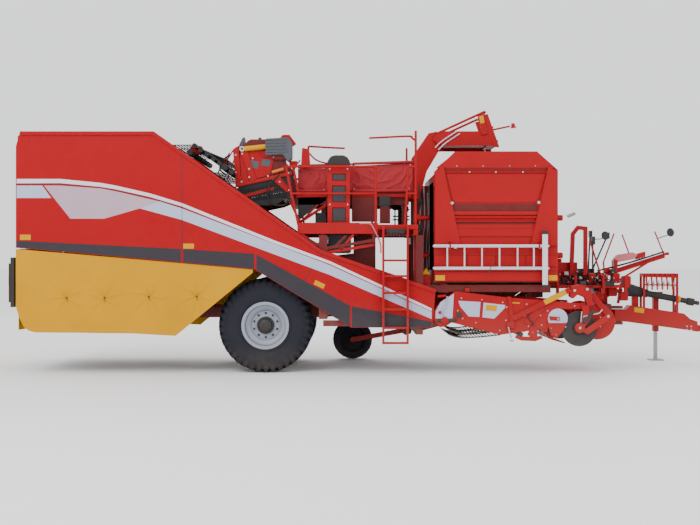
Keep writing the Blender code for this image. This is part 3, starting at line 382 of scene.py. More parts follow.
# ------------------------------------------------------- side panel trim ---
THIN_TOP = [(-5.56, 3.257), (-4.83, 3.257), (-4.17, 3.193), (-3.92, 3.150), (-3.33, 3.015), (-2.80, 2.853),
            (-1.28, 2.240), (-0.33, 1.885), (1.36, 1.098)]
THIN_BOT = [(x, z - 0.072 + 0.006 * i * 0.6) for i, (x, z) in enumerate(THIN_TOP)]
THICK_TOP = [(-3.17, 2.882), (-2.80, 2.765), (-0.33, 1.818), (1.36, 1.043)]
THICK_BOT = [(-3.50, 2.767), (-2.80, 2.575), (-0.33, 1.655), (1.36, 0.923)]
BAND_TOP = [(-5.56, 2.228), (-2.80, 2.090), (-1.58, 2.010), (0.01, 1.140), (1.36, 0.880)]
BAND_BOT = [(-5.56, 2.118), (-2.80, 1.872), (-1.59, 1.758), (0.02, 0.787), (1.365, 0.787)]
PATCH = [(-5.12, 3.148), (-4.66, 2.595), (-4.10, 2.595), (-3.50, 2.767), (-3.17, 2.882), (-3.92, 3.055),
         (-4.17, 3.10), (-4.83, 3.148)]


def strip(kit, top, bottom, side, x_lo, x_hi, lift=0.0015):
    xs = sorted({x_lo, x_hi, *[x for x, _ in top + bottom if x_lo < x < x_hi]})
    outline = [(x, lerp_at(bottom, x)) for x in xs] + [(x, lerp_at(top, x)) for x in reversed(xs)]
    y = side * 1.44
    a, b = (y, y + side * lift)
    kit.prism(outline, a, b)


for side, word in SIDES:
    thin = Kit("thin_stripe_" + word, "pale_stripe")
    strip(thin, THIN_TOP, THIN_BOT, side, -5.555, -2.804); strip(thin, THIN_TOP, THIN_BOT, side, -2.796, 1.36)
    thin.done()
    gap = Kit("stripe_gap_" + word, "gap")
    low = [(x, z - 0.034) for x, z in THIN_BOT]
    strip(gap, THIN_BOT, low, side, -5.555, -2.804, 0.001); strip(gap, THIN_BOT, low, side, -2.796, 1.36, 0.001)
    gap.done()
    thick = Kit("wide_stripe_" + word, "light_stripe")
    thick.prism([(-5.555, 2.94), (-4.98, 2.94), (-5.13, 3.148), (-5.555, 3.148)], side * 1.44, side * 1.442)
    strip(thick, THICK_TOP, THICK_BOT, side, -2.796, 1.36, 0.002)
    thick.prism([(-3.50, 2.767), (-2.804, 2.576), (-2.804, 2.766), (-3.17, 2.882)], side * 1.44, side * 1.442)
    thick.done()
    patch = Kit("bare_patch_" + word, "light_stripe")
    patch.prism([(x + 0.02 if i < 1 else x, z) for i, (x, z) in enumerate(PATCH)], side * 1.44, side * 1.4418)
    patch.done().data.materials[0] = finish("patch_" + word, (0.42, 0.30, 0.36), 0.42, var=0.08, dust=0.25, bump=0.03)
    band = Kit("edge_band_" + word, "band")
    for lo_x, hi_x in ((-5.555, -2.82), (-2.78, -1.60), (-1.56, 0.0), (0.03, 1.36)):
        strip(band, BAND_TOP, BAND_BOT, side, lo_x, hi_x, 0.003)
    band.done()
    seam = Kit("panel_seams_" + word, "band")
    y0, y1 = side * 1.44, side * 1.4412
    for a, b in (((-0.45, 2.045), (-0.90, 1.357)), ((-0.90, 1.357), (-0.71, 1.24)), ((-2.80, 2.10), (-2.80, 3.66))):
        seam.loft(*[[(a[0] - 0.006, y, a[1]), (a[0] + 0.006, y, a[1]), (b[0] + 0.006, y, b[1]), (b[0] - 0.006, y, b[1])]
                    for y in (y0, y1)])
    seam.done()
    plates = Kit("blank_plates_" + word, "yellow")
    for x0, x1, z0, z1, turn in ((-5.50, -5.32, 2.24, 2.33, 0), (-2.78, -2.60, 2.095, 2.18, 0), (-0.60, -0.42, 1.46, 1.54, -25)):
        c = Vector(((x0 + x1) / 2, 0, (z0 + z1) / 2)); w, h = (x1 - x0) / 2, (z1 - z0) / 2
        t = math.radians(turn)
        out = [(c.x + i * w * math.cos(t) - j * h * math.sin(t), c.z + i * w * math.sin(t) + j * h * math.cos(t))
               for i, j in ((-1, -1), (1, -1), (1, 1), (-1, 1))]
        plates.prism(out, side * 1.44, side * 1.4445, 0.0008)
    plates.done()
    bolts = Kit("panel_bolts_" + word, "band")
    for x in [-5.45 + 0.33 * i for i in range(8)]:
        bolts.bolt((x, side * 1.443, lerp_at(BAND_TOP, x) - 0.05), (0, side, 0), 0.010, 0.006)
    for x in [-2.6 + 0.30 * i for i in range(4)] + [0.2 + 0.28 * i for i in range(5)]:
        bolts.bolt((x, side * 1.443, lerp_at(BAND_TOP, x) - 0.05), (0, side, 0), 0.010, 0.006)
    bolts.done()

# ---------------------------------------------------------------- wheels ---
AX, AZ = -1.43, 0.80
for side, word in SIDES:
    cy = side * 0.98
    body = "wheel_" + word
    base = Kit("tyre_carcass_" + word, "tyre", body)
    base.turn([(-0.25, 0.387), (0.25, 0.387), (0.268, 0.42), (0.284, 0.50), (0.288, 0.60), (0.276, 0.68), (0.245, 0.735),
               (0.15, 0.758), (0.0, 0.762), (-0.15, 0.758), (-0.245, 0.735), (-0.276, 0.68), (-0.288, 0.60), (-0.284, 0.50),
               (-0.268, 0.42)], (AX, cy, AZ), (0, side, 0), 72)
    base.turn([(0.270, 0.425), (0.279, 0.430), (0.279, 0.442), (0.273, 0.448)], (AX, cy, AZ), (0, side, 0), 72)
    ob = base.done(40)
    tread = Kit("tyre_tread_" + word, "tyre", body)
    count = 38
    for i in range(count):
        for half in (-1, 1):
            t0 = 2 * math.pi * (i + (0.0 if half < 0 else 0.5)) / count
            dt = 2 * math.pi / count * 0.31
            # a block runs from the middle out over the shoulder, slanted
            rows = [(0.02, 0.0, 0.800, 0.75), (0.13, 0.06, 0.799, 0.75), (0.21, 0.10, 0.788, 0.74), (0.268, 0.12, 0.735, 0.70),
                    (0.287, 0.125, 0.675, 0.665)]
            verts, faces = [], []
            for u, skew, r_top, r_low in rows:
                for tt in (-dt, dt):
                    for r in (r_low - 0.01, r_top):
                        a = t0 + skew * 0.9 + tt * (1.0 if r < r_top else 0.86)
                        verts.append((AX + r * math.cos(a), cy + half * min(u, 0.2885), AZ + r * math.sin(a)))
            k = len(rows)
            for q in range(k - 1):
                a, b = q * 4, q * 4 + 4
                faces += [[a + 1, a + 3, b + 3, b + 1], [a, a + 1, b + 1, b], [a + 3, a + 2, b + 2, b + 3], [a + 2, a, b, b + 2]]
            faces += [[0, 2, 3, 1], [4 * k - 4, 4 * k - 3, 4 * k - 1, 4 * k - 2]]
            tread.take(verts, faces)
    tob = tread.done(30)
    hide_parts("tyre_" + word)
    hub = Kit("hub_cap_" + word, "disc", body)
    hub.turn([(0.155, 0.0), (0.155, 0.150), (0.168, 0.146), (0.172, 0.120), (0.200, 0.112), (0.262, 0.100), (0.272, 0.085),
              (0.275, 0.0)], (AX, cy, AZ), (0, side, 0), 32)
    hub.done()
    studs = Kit("wheel_studs_" + word, "disc", body)
    for i in range(10):
        a = 2 * math.pi * (i + 0.5) / 10
        studs.bolt((AX + 0.205 * math.cos(a), cy + side * 0.131, AZ + 0.205 * math.sin(a)), (0, side, 0), 0.019, 0.028)
    studs.done()
    lip = Kit("rim_lip_" + word, "rim", body)
    lip.turn([(0.262, 0.352), (0.262, 0.400), (0.272, 0.404), (0.280, 0.398), (0.279, 0.352)], (AX, cy, AZ), (0, side, 0), 64)
    lip.turn([(0.130, 0.24), (0.150, 0.262), (0.168, 0.300), (0.171, 0.336), (0.128, 0.336)], (AX, cy, AZ), (0, side, 0), 64)
    lip.done()

# -------------------------------------------------------- yellow canvases ---
CURTAIN_TOP = [(-5.575, 2.09), (-2.80, 1.853), (-1.62, 1.748)]
CURTAIN_BOT = [(-5.575, 1.14), (-5.52, 0.96), (-5.44, 0.79), (-5.36, 0.73), (-5.27, 0.70), (-3.61, 0.68), (-2.91, 0.64), (-1.64, 1.68), (-1.62, 1.70)]
TIES = [(-4.73, 1.275), (-4.10, 1.275), (-3.36, 1.29), (-2.56, 1.298)]


def canvas_depth(x, z):
    d = 0.010 * noise.noise(Vector((x * 1.3, 0.4, z * 1.1))) + 0.006 * noise.noise(Vector((x * 4.1, 2.2, z * 2.3)))
    low = max(0.0, (1.35 - z)) / 0.7
    d += 0.021 * low * math.sin(x * 7.5 + 1.1 * math.sin(z * 3.0)) * (0.4 + 0.6 * noise.noise(Vector((x * 0.8, 7.0, 0))))
    for tx, tz in TIES:
        dx, dz = x - tx, z - tz
        r = math.hypot(dx, dz)
        a = math.atan2(dz, dx)
        d -= 0.020 * math.exp(-(r / 0.07) ** 2)
        crease = (1 - abs(math.sin(3.5 * a + tx + 0.8 * noise.noise(Vector((x * 6, z * 6, tx)))))) ** 3
        d += 0.021 * math.exp(-(r / 0.30) ** 2) * crease * min(1.0, r / 0.04)
    return d


def curtain(side, word):
    nx, nz = 260, 96
    verts, faces = [], []
    for layer in (1, 0):
        for i in range(nx + 1):
            x = -5.575 + (5.575 - 1.62) * i / nx
            zt, zb = lerp_at(CURTAIN_TOP, x), lerp_at(CURTAIN_BOT, x)
            for j in range(nz + 1):
                f = j / nz
                z = zt + (zb - zt) * f
                hem = 0.0035 if (1 - f) * (zt - zb) < 0.045 else 0.0
                held = min(1.0, f * 7.0) * min(1.0, (x + 5.60) * 6.0 + 0.2)
                d = canvas_depth(x, z) * held + hem
                y = side * (1.424 + d + (0.002 if layer else -0.002))
                verts.append((x - OX, y - OY, z))
    count = (nx + 1) * (nz + 1)
    for i in range(nx):
        for j in range(nz):
            a = i * (nz + 1) + j
            b, c, d = a + 1, a + nz + 2, a + nz + 1
            faces.append([a, b, c, d]); faces.append([count + d, count + c, count + b, count + a])
    rim = [i * (nz + 1) for i in range(nx + 1)] + [nx * (nz + 1) + j for j in range(1, nz + 1)] + \
          [i * (nz + 1) + nz for i in range(nx - 1, -1, -1)] + [j for j in range(nz - 1, 0, -1)]
    for a, b in zip(rim, rim[1:] + rim[:1]):
        faces.append([a, b, count + b, count + a])
    mesh = bpy.data.meshes.new("canvas_side_" + word)
    mesh.from_pydata(verts, [], faces)
    bm = bmesh.new(); bm.from_mesh(mesh); bmesh.ops.recalc_face_normals(bm, faces=bm.faces); bm.to_mesh(mesh); bm.free()
    mesh.materials.append(M["canvas"]); mesh.shade_smooth(); mesh.set_sharp_from_angle(angle=math.radians(50))
    ob = bpy.data.objects.new("canvas_side_" + word, mesh)
    bpy.context.scene.collection.objects.link(ob)
    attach(ob, "chassis"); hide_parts("curtain_" + word)
    ties = Kit("canvas_ties_" + word, "rubber")
    for tx, tz in TIES:
        ties.turn([(0, 0), (0, 0.016), (0.008, 0.014), (0.010, 0.0)], (tx, side * 1.408, tz), (0, side, 0), 16)
        ties.tube([(tx, side * 1.412, tz), (tx + 0.01, side * 1.432, tz - 0.02), (tx + 0.015, side * 1.434, tz - 0.06)], 0.004, 8)
    ties.done()
    return ob


for side, word in SIDES:
    curtain(side, word)


# rear canvas: hung from the hood, folds run downwards
def rear_canvas():
    ny, nz = 150, 60
    verts, faces = [], []
    for layer in (1, 0):
        for i in range(ny + 1):
            y = -1.28 + 2.56 * i / ny
            for j in range(nz + 1):
                f = j / nz
                z = 2.095 + (0.73 - 2.095) * f
                d = f * 0.012 * math.sin(y * 14 + 1.3 * math.sin(y * 3)) + 0.006 * noise.noise(Vector((y * 2, z * 2, 3)))
                verts.append((-5.562 - d - (0.002 if layer else -0.002) - OX, y - OY, z))
    count = (ny + 1) * (nz + 1)
    for i in range(ny):
        for j in range(nz):
            a = i * (nz + 1) + j
            b, c, d = a + 1, a + nz + 2, a + nz + 1
            faces.append([a, b, c, d]); faces.append([count + d, count + c, count + b, count + a])
    rim = [i * (nz + 1) for i in range(ny + 1)] + [ny * (nz + 1) + j for j in range(1, nz + 1)] + \
          [i * (nz + 1) + nz for i in range(ny - 1, -1, -1)] + [j for j in range(nz - 1, 0, -1)]
    for a, b in zip(rim, rim[1:] + rim[:1]):
        faces.append([a, b, count + b, count + a])
    mesh = bpy.data.meshes.new("canvas_rear_hung")
    mesh.from_pydata(verts, [], faces)
    bm = bmesh.new(); bm.from_mesh(mesh); bmesh.ops.recalc_face_normals(bm, faces=bm.faces); bm.to_mesh(mesh); bm.free()
    mesh.materials.append(M["canvas"]); mesh.shade_smooth(); mesh.set_sharp_from_angle(angle=math.radians(50))
    ob = bpy.data.objects.new("canvas_rear_hung", mesh)
    bpy.context.scene.collection.objects.link(ob)
    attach(ob, "chassis"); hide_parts("curtain_rear")


rear_canvas()


# red canvas walls of the picking table, pleated between their posts
def table_canvas(name, node, x0, x1, zb, zt0, zt1):
    nx, nz = 90, 40
    verts, faces = [], []
    for layer in (1, 0):
        for i in range(nx + 1):
            x = x0 + (x1 - x0) * i / nx
            zt = zt0 + (zt1 - zt0) * i / nx
            for j in range(nz + 1):
                f = j / nz
                z = zb + (zt - zb) * f
                q = (z - zb) * 15 + (x - x0) * 9 * math.sin((x - x0) * 3.1 + 0.6) + 2.2 * noise.noise(Vector((x * 4, z * 4, 0)))
                w = (x - x0) * 17 - (z - zb) * 8 + 2.0 * noise.noise(Vector((x * 3, z * 5, 4)))
                d = (0.015 * (1 - abs(math.sin(q))) ** 2 + 0.010 * (1 - abs(math.sin(w))) ** 2) * math.sin(math.pi * f) ** 0.6 \
                    + 0.004 * noise.noise(Vector((x * 5, 1, z * 5))) - 0.005
                verts.append((x - OX, -0.8275 - d + (-0.0015 if layer else 0.0015) - OY, z))
    count = (nx + 1) * (nz + 1)
    for i in range(nx):
        for j in range(nz):
            a = i * (nz + 1) + j
            b, c, d = a + 1, a + nz + 2, a + nz + 1
            faces.append([a, b, c, d]); faces.append([count + d, count + c, count + b, count + a])
    rim = [i * (nz + 1) for i in range(nx + 1)] + [nx * (nz + 1) + j for j in range(1, nz + 1)] + \
          [i * (nz + 1) + nz for i in range(nx - 1, -1, -1)] + [j for j in range(nz - 1, 0, -1)]
    for a, b in zip(rim, rim[1:] + rim[:1]):
        faces.append([a, b, count + b, count + a])
    mesh = bpy.data.meshes.new(name)
    mesh.from_pydata(verts, [], faces)
    bm = bmesh.new(); bm.from_mesh(mesh); bmesh.ops.recalc_face_normals(bm, faces=bm.faces); bm.to_mesh(mesh); bm.free()
    mesh.materials.append(M["red_canvas"]); mesh.shade_smooth(); mesh.set_sharp_from_angle(angle=math.radians(50))
    ob = bpy.data.objects.new(name, mesh)
    bpy.context.scene.collection.objects.link(ob)
    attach(ob, "chassis"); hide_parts(node)


table_canvas("table_cloth_rear", "canvas_rear", -0.90, -0.42, 3.06, 3.50, 3.52)
table_canvas("table_cloth_front", "canvas_front", 0.04, 1.08, 3.08, 3.53, 3.58)

# flaps of the same canvas close the corners between the cloths and the control column
flaps = Kit("table_corner_flaps", "red_canvas")
flaps.box(-0.435, -0.368, -0.834, -0.829, 3.065, 3.515, 0.001)
flaps.box(-0.012, 0.050, -0.834, -0.829, 3.085, 3.525, 0.001)
flaps.done()

# ----------------------------------------------------------- column trim ---
win = Kit("column_windows", "window")
for z0, z1 in ((3.24, 3.36), (2.88, 3.16), (2.55, 2.79)):
    win.prism([(-0.29, z0 + 0.01), (-0.08, z0 + 0.01), (-0.08, z1 - 0.01), (-0.29, z1 - 0.01)], -1.268, -1.25, 0.006)
win.done()
cap = Kit("column_cap", "black")
cap.prism([(-0.385, 3.50), (0.005, 3.50), (0.0, 3.57), (-0.05, 3.645), (-0.12, 3.67), (-0.26, 3.67), (-0.33, 3.645), (-0.38, 3.57)],
          -1.29, -1.05, 0.012)
cap.done()
cb = Kit("column_bolts", "zinc")
for x, z in ((-0.34, 3.44), (-0.04, 3.44), (-0.34, 2.84), (-0.04, 2.84)):
    cb.bolt((x, -1.28, z), (0, -1, 0), 0.013, 0.008)
cb.done()

# ------------------------------------------------------------ bunker wall ---
def plate(kit, pts, y, t=0.006, side=-1, bevel=0.002):
    """Flat plate on a side face; y is the face it lies on."""
    return kit.prism(pts, y, y + side * t, bevel)


bw = Kit("bunker_wall_folds", "red")
plate(bw, [(1.43, 3.44), (3.43, 3.44), (3.11, 3.708), (1.765, 3.708)], -1.4205, 0.014, bevel=0.004)
plate(bw, [(1.72, 2.14), (3.14, 2.14), (3.165, 2.50), (1.70, 2.50)], -1.4205, 0.012, bevel=0.004)
plate(bw, [(1.60, 3.345), (3.27, 3.345), (3.12, 2.865), (1.72, 2.865)], -1.4205, 0.008, bevel=0.003)
bw.prism([(1.415, 3.385), (1.535, 3.43), (1.70, 2.84), (1.845, 2.145), (1.415, 2.145)], -1.4730, -1.4205, 0.006)
bw.prism([(3.458, 3.385), (3.335, 3.43), (3.165, 2.84), (3.02, 2.145), (3.458, 2.145)], -1.4730, -1.4205, 0.006)
bw.rod((1.52, -1.438, 3.372), (3.35, -1.438, 3.372), 0.011)
bw.rod((1.69, -1.440, 2.620), (3.17, -1.440, 2.620), 0.018)
bw.rod((1.70, -1.436, 2.550), (3.16, -1.436, 2.550), 0.013)
bw.box(1.42, 3.455, -1.4300, -1.4205, 1.985, 2.012)
bw.box(1.42, 3.455, -1.4450, -1.4205, 1.560, 1.715, 0.006)
bw.box(1.42, 3.455, -1.4290, -1.4205, 1.785, 1.80)
for x in (1.95, 2.44, 2.93):
    bw.box(x - 0.012, x + 0.012, -1.428, -1.4205, 1.72, 1.98)
bw.done()
# painted shade: dark plates laid on the solid wall where its recess, and the narrow gaps under the tube and the fold,
# lie in shadow
rec = Kit("bunker_wall_recess_painted_shade", "dark_red")
plate(rec, [(1.73, 2.655), (3.135, 2.655), (3.12, 2.845), (1.72, 2.845)], -1.4205, 0.003, bevel=0)
plate(rec, [(1.71, 2.508), (3.15, 2.508), (3.148, 2.536), (1.712, 2.536)], -1.4205, 0.003, bevel=0)
rec.box(1.52, 3.34, -1.4235, -1.4205, 3.40, 3.425, 0)
rec.done()
bb = Kit("bunker_bolts", "zinc")
for x in (1.56, 1.99, 2.43, 2.88, 3.32):
    bb.bolt((x, -1.449, 3.372), (0, -1, 0), 0.013, 0.008)
for x in (1.78, 2.22, 2.66, 3.09):
    bb.bolt((x, -1.435, 3.475), (0, -1, 0), 0.008, 0.006)
for x, z in ((1.70, 2.855), (3.14, 2.865)):
    bb.bolt((x, -1.474, z), (0, -1, 0), 0.024, 0.010)
for x in (1.96, 2.96):
    for z in (1.60, 1.67):
        bb.bolt((x, -1.446, z), (0, -1, 0), 0.010, 0.006)
bb.done()
by = Kit("bunker_plates", "yellow")
for x0, x1 in ((1.42, 1.58), (3.30, 3.45)):
    by.box(x0, x1, -1.4745, -1.4715, 1.565, 1.655, 0.0008)
by.done()
ab = Kit("upright_bar", "alu")
ab.box(3.185, 3.275, -1.556, -1.541, 1.48, 2.36, 0.002)
ab.done()
ae = Kit("bar_ends", "black")
ae.box(3.180, 3.280, -1.5585, -1.5385, 2.33, 2.39, 0.004)
ae.box(3.180, 3.280, -1.5585, -1.5385, 1.45, 1.50, 0.004)
for z in (2.14, 1.77):
    for x in (1.385, 3.29):
        ae.box(x - 0.012, x + 0.012, -1.5395, -1.4995, z - 0.026, z + 0.026, 0.003)
ae.done()
hk = Kit("ladder_hooks", "red")
for x in (1.66, 3.14):
    hk.box(x - 0.014, x + 0.014, -1.5005, -1.4210, 2.10, 2.125, 0.003)
    hk.box(x - 0.014, x + 0.014, -1.5555, -1.5415, 2.08, 2.20, 0.003)
    hk.box(x - 0.014, x + 0.014, -1.5555, -1.4210, 2.185, 2.20, 0.003)
hk.done()
rp = Kit("ladder_tie", "belt")
rp.tube([(2.31, -1.49, 1.79), (2.325, -1.546, 1.80), (2.33, -1.552, 1.75), (2.31, -1.535, 1.70), (2.29, -1.50, 1.72)], 0.005, 8)
rp.tube([(2.33, -1.55, 1.80), (2.35, -1.553, 1.86), (2.40, -1.549, 1.88)], 0.004, 8)
rp.tube([(2.32, -1.55, 1.73), (2.29, -1.553, 1.67), (2.28, -1.549, 1.62)], 0.004, 8)
rp.done()

# ------------------------------------------------------------- sieve webs ---
def offset_loop(outline, pitch):
    pts = [Vector((x, 0, z)) for x, z in outline]
    path = []
    for a, b in zip(pts, pts[1:] + pts[:1]):
        n = max(1, int((b - a).length / 0.01))
        path += [a + (b - a) * k / n for k in range(n)]
    total = len(path) * 0.01
    step = max(1, int(round(pitch / 0.01)))
    return path, path[::step]


def shrink(outline, d):
    """Outline drawn in by d, so rods about it stay inside."""
    m = len(outline); area = sum(outline[i][0] * outline[(i + 1) % m][1] - outline[(i + 1) % m][0] * outline[i][1]
                                 for i in range(m))
    sgn = 1 if area > 0 else -1
    out = []
    for i in range(m):
        p0, p1, p2 = (Vector(outline[i - 1]), Vector(outline[i]), Vector(outline[(i + 1) % m]))
        e1, e2 = (p1 - p0).normalized(), (p2 - p1).normalized()
        n1, n2 = Vector((-e1.y, e1.x)) * sgn, Vector((-e2.y, e2.x)) * sgn
        b = (n1 + n2)
        b = b / max(0.35, b.length_squared) * 2 if b.length > 0.01 else n1
        out.append(tuple(p1 + b * d))
    return out


def web(name, node, outline, y0, y1, body="chassis", pitch=0.05, belts=4, rollers=(), bar_r=0.010):
    run = shrink(outline, 0.016)
    path, at = offset_loop(run, pitch)
    bars = Kit(name + "_bars", "webbar", body)
    for p in at:
        bars.rod((p.x, y0 + 0.01, p.z), (p.x, y1 - 0.01, p.z), bar_r, n=6)
    bo = bars.done()
    bel = Kit(name + "_belts", "belt", body)
    for k in range(belts):
        yc = y0 + 0.04 + (y1 - y0 - 0.08) * k / (belts - 1)
        m = len(run); inner = shrink(run, 0.004); outer = shrink(run, -0.004)
        verts = [(x, yc + s * 0.026, z) for s in (-1, 1) for x, z in outer] + \
                [(x, yc + s * 0.026, z) for s in (-1, 1) for x, z in inner]
        faces = []
        for i in range(m):
            j = (i + 1) % m
            faces += [[i, j, m + j, m + i], [2 * m + j, 2 * m + i, 3 * m + i, 3 * m + j],
                      [i, 2 * m + i, 2 * m + j, j], [m + j, 3 * m + j, 3 * m + i, m + i]]
        bel.take(verts, faces)
    bel.done()
    if rollers:
        ro = Kit(name + "_rollers", "rubber", body)
        for x, z, r in rollers:
            ro.rod((x, y0 + 0.02, z), (x, y1 - 0.02, z), r, n=20)
            for q in range(belts):
                yc = y0 + 0.04 + (y1 - y0 - 0.08) * q / (belts - 1)
        ro.done()
    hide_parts(node)
    return bo


WEB_F = [(1.34, 0.86), (0.05, 0.90), (-1.54, 1.86), (-1.60, 1.91), (-1.54, 2.02), (0.10, 1.06), (1.34, 1.06)]
web("front_web", "web_front", WEB_F, -1.34, 0.24, rollers=((-1.52, 1.94, 0.045), (1.27, 0.96, 0.06), (0.08, 0.98, 0.05), (-0.7, 1.44, 0.045)))
web("rear_web", "web_rear", [(-1.66, 1.95), (-4.55, 2.12), (-4.60, 2.20), (-4.55, 2.30), (-1.66, 2.13)], -1.34, 1.34, belts=6,
    rollers=((-4.52, 2.21, 0.05), (-1.73, 2.04, 0.055), (-3.1, 2.125, 0.05)))
web("lower_web", "web_lower", [(-2.90, 1.30), (-4.66, 1.10), (-4.66, 1.26), (-2.90, 1.46)], -1.34, 1.34, belts=6,
    rollers=((-2.98, 1.375, 0.05), (-4.58, 1.19, 0.05), (-3.8, 1.28, 0.045)))
web("elevator_web", "elevator", [(-5.00, 0.80), (-5.20, 0.74), (-5.42, 0.82), (-5.46, 1.00), (-5.46, 3.60), (-5.38, 3.78),
    (-5.24, 3.80), (-5.24, 1.00), (-5.14, 0.92), (-5.00, 0.92)], -1.28, 1.28, belts=5)
web("upper_web", "web_upper", [(-5.20, 3.66), (-2.05, 3.34), (-1.98, 3.46), (-2.04, 3.60), (-2.66, 3.86), (-5.20, 3.86)],
    -1.28, 1.28, belts=5, rollers=((-5.13, 3.76, 0.06), (-2.12, 3.47, 0.06), (-2.7, 3.72, 0.05), (-3.8, 3.65, 0.06)))
web("digging_web", "intake_web", [(1.66, 0.98), (1.58, 1.06), (1.64, 1.16), (1.78, 1.18), (3.16, 0.98), (3.22, 0.89), (3.12, 0.83),
    (2.40, 0.84), (1.90, 0.93)], -1.355, 0.205, "intake", belts=4, rollers=((1.68, 1.08, 0.045), (3.13, 0.90, 0.04), (2.4, 0.96, 0.05)))
sag = Kit("slack_run_bars", "webbar", "intake")
sagb = Kit("slack_run_belts", "belt", "intake")
for lane in ([(1.66, 0.735), (1.76, 0.695), (1.90, 0.672), (2.19, 0.70), (2.50, 0.725)],
             [(1.66, 0.655), (1.76, 0.620), (1.90, 0.603), (2.19, 0.615), (2.52, 0.650)]):
    pts = smooth_path([Vector((x, 0, z)) for x, z in lane], 6)
    for p in pts:
        sag.rod((p.x, -1.33, p.z), (p.x, 0.18, p.z), 0.008, n=6)
    for yc in (-1.30, -0.58, 0.15):
        sagb.tube([(x, yc, z) for x, z in lane], 0.012, 6)
sag.done(); sagb.done()

# ---------------------------------------------------------- digging intake ---
YI = -1.4055
ip = Kit("intake_insets", "light_stripe", "intake")
plate(ip, [(1.81, 1.225), (2.18, 1.205), (2.16, 0.955), (1.98, 0.965), (1.84, 1.13)], YI, 0.003, bevel=0.001)
plate(ip, [(2.23, 1.195), (2.59, 1.155), (2.59, 1.11), (2.41, 0.928), (2.21, 0.948)], YI, 0.003, bevel=0.001)
plate(ip, [(1.43, 0.93), (1.71, 0.93), (1.735, 1.345), (1.515, 1.205), (1.43, 1.05)], YI, 0.003, bevel=0.001)
ip.turn([(0.0, 0.0), (0.0, 0.160), (0.006, 0.165), (0.010, 0.156), (0.012, 0.0)], (3.47, YI, 0.93), (0, -1, 0), 40)
ip.done()
iy = Kit("intake_plates", "yellow", "intake")
plate(iy, [(2.28, 1.16), (2.46, 1.145), (2.44, 1.05), (2.26, 1.065)], YI - 0.004, 0.002, bevel=0.0005)
plate(iy, [(2.70, 1.205), (2.84, 1.195), (2.835, 1.175), (2.695, 1.185)], YI, 0.002, bevel=0.0005)
plate(iy, [(3.22, 1.235), (3.26, 1.16), (3.62, 1.335), (3.58, 1.41)], YI - 0.037, 0.002, bevel=0.0005)
iy.done()
ir = Kit("intake_braces", "red", "intake")
ir.prism([(2.625, 1.30), (2.695, 1.29), (2.755, 0.77), (2.685, 0.76)], YI - 0.020, YI, 0.004)
ir.prism([(2.69, 0.97), (2.73, 0.885), (3.70, 1.375), (3.66, 1.455)], YI - 0.036, YI, 0.006)
ir.prism([(3.66, 1.30), (3.70, 1.47), (3.86, 1.50), (4.02, 1.42), (4.05, 1.18), (3.97, 1.10), (3.92, 1.28), (3.80, 1.33), (3.72, 1.26)],
         YI - 0.030, YI + 0.10, 0.006)
ir.prism([(3.32, 0.97), (3.34, 0.90), (3.50, 0.895), (3.50, 0.955)], YI - 0.028, YI - 0.012, 0.004)
ir.prism([(3.08, 0.87), (3.20, 1.02), (3.26, 1.10), (3.16, 1.14), (3.02, 1.02), (2.90, 0.86), (3.00, 0.80)], YI - 0.010, YI, 0.003)
ir.prism([(3.28, 0.86), (3.62, 0.86), (3.56, 0.72), (3.45, 0.60), (3.36, 0.64)], YI - 0.012, YI + 0.018, 0.004)
ir.prism([(2.76, 0.60), (2.86, 0.56), (3.10, 0.55), (3.22, 0.60), (3.20, 0.64), (3.08, 0.62), (2.86, 0.63), (2.78, 0.655)],
         YI - 0.006, YI + 0.05, 0.004)
ir.prism([(3.02, 0.80), (3.10, 0.80), (3.14, 0.60), (3.06, 0.58), (2.96, 0.66)], YI - 0.012, YI + 0.004, 0.003)
ir.prism([(4.02, 1.30), (4.10, 1.36), (4.42, 0.98), (4.34, 0.90)], -1.30, -1.26, 0.006)
ir.prism([(3.86, 0.72), (3.96, 0.66), (4.36, 0.93), (4.30, 1.02)], YI - 0.05, YI - 0.025, 0.006)
ir.turn([(0.0, 0.0), (0.0, 0.085), (0.030, 0.085), (0.036, 0.075), (0.036, 0.0)], (3.83, YI - 0.018, 0.775), (0, -1, 0), 28)
for x, z, r in ((1.58, 0.90, 0.060), (1.50, 1.03, 0.025), (2.66, 0.82, 0.05)):
    ir.turn([(0.0, 0.0), (0.0, r), (0.018, r), (0.022, r * 0.85), (0.022, 0.0)], (x, YI - 0.003, z), (0, -1, 0), 24)
ir.rod((1.46, YI - 0.03, 1.30), (1.60, YI - 0.03, 1.315), 0.022)
ir.box(1.92, 2.00, YI, YI + 0.03, 1.375, 1.44)
ir.done()
ib = Kit("intake_bolts", "zinc", "intake")
for x, z in ((1.86, 1.27), (2.20, 1.245), (2.55, 1.20), (1.80, 1.06), (1.88, 0.93), (2.72, 0.90), (2.66, 1.24), (3.02, 0.90), (3.05, 1.06),
             (3.16, 1.19), (3.20, 0.82), (3.36, 0.77), (2.92, 0.98), (2.98, 0.80), (3.60, 0.79), (3.44, 0.66), (2.50, 0.73), (2.60, 0.90),
             (3.18, 0.98), (3.30, 1.06), (2.62, 1.12), (3.14, 0.72), (3.05, 0.70), (2.95, 1.17), (3.75, 1.14), (2.10, 0.86)):
    ib.bolt((x, YI - 0.003, z), (0, -1, 0), 0.011, 0.010)
for x, z in ((3.83, 0.775), (3.74, 1.40), (3.95, 1.42), (4.30, 0.97)):
    ib.bolt((x, YI - 0.056, z), (0, -1, 0), 0.022, 0.012)
ib.bolt((3.47, YI - 0.028, 0.925), (0, -1, 0), 0.016, 0.010)
ib.rod((2.64, YI - 0.018, 0.79), (2.69, YI - 0.018, 0.60), 0.012)
ib.turn([(0, 0), (0, 0.032), (0.02, 0.034), (0.028, 0.02), (0.028, 0)], (2.70, YI - 0.02, 0.575), (0, 0, -1), 20)
ib.tube([(1.62, YI - 0.02, 1.30), (1.60, YI - 0.03, 1.16), (1.54, YI - 0.03, 1.06), (1.55, YI - 0.02, 0.98)], 0.011, 10)
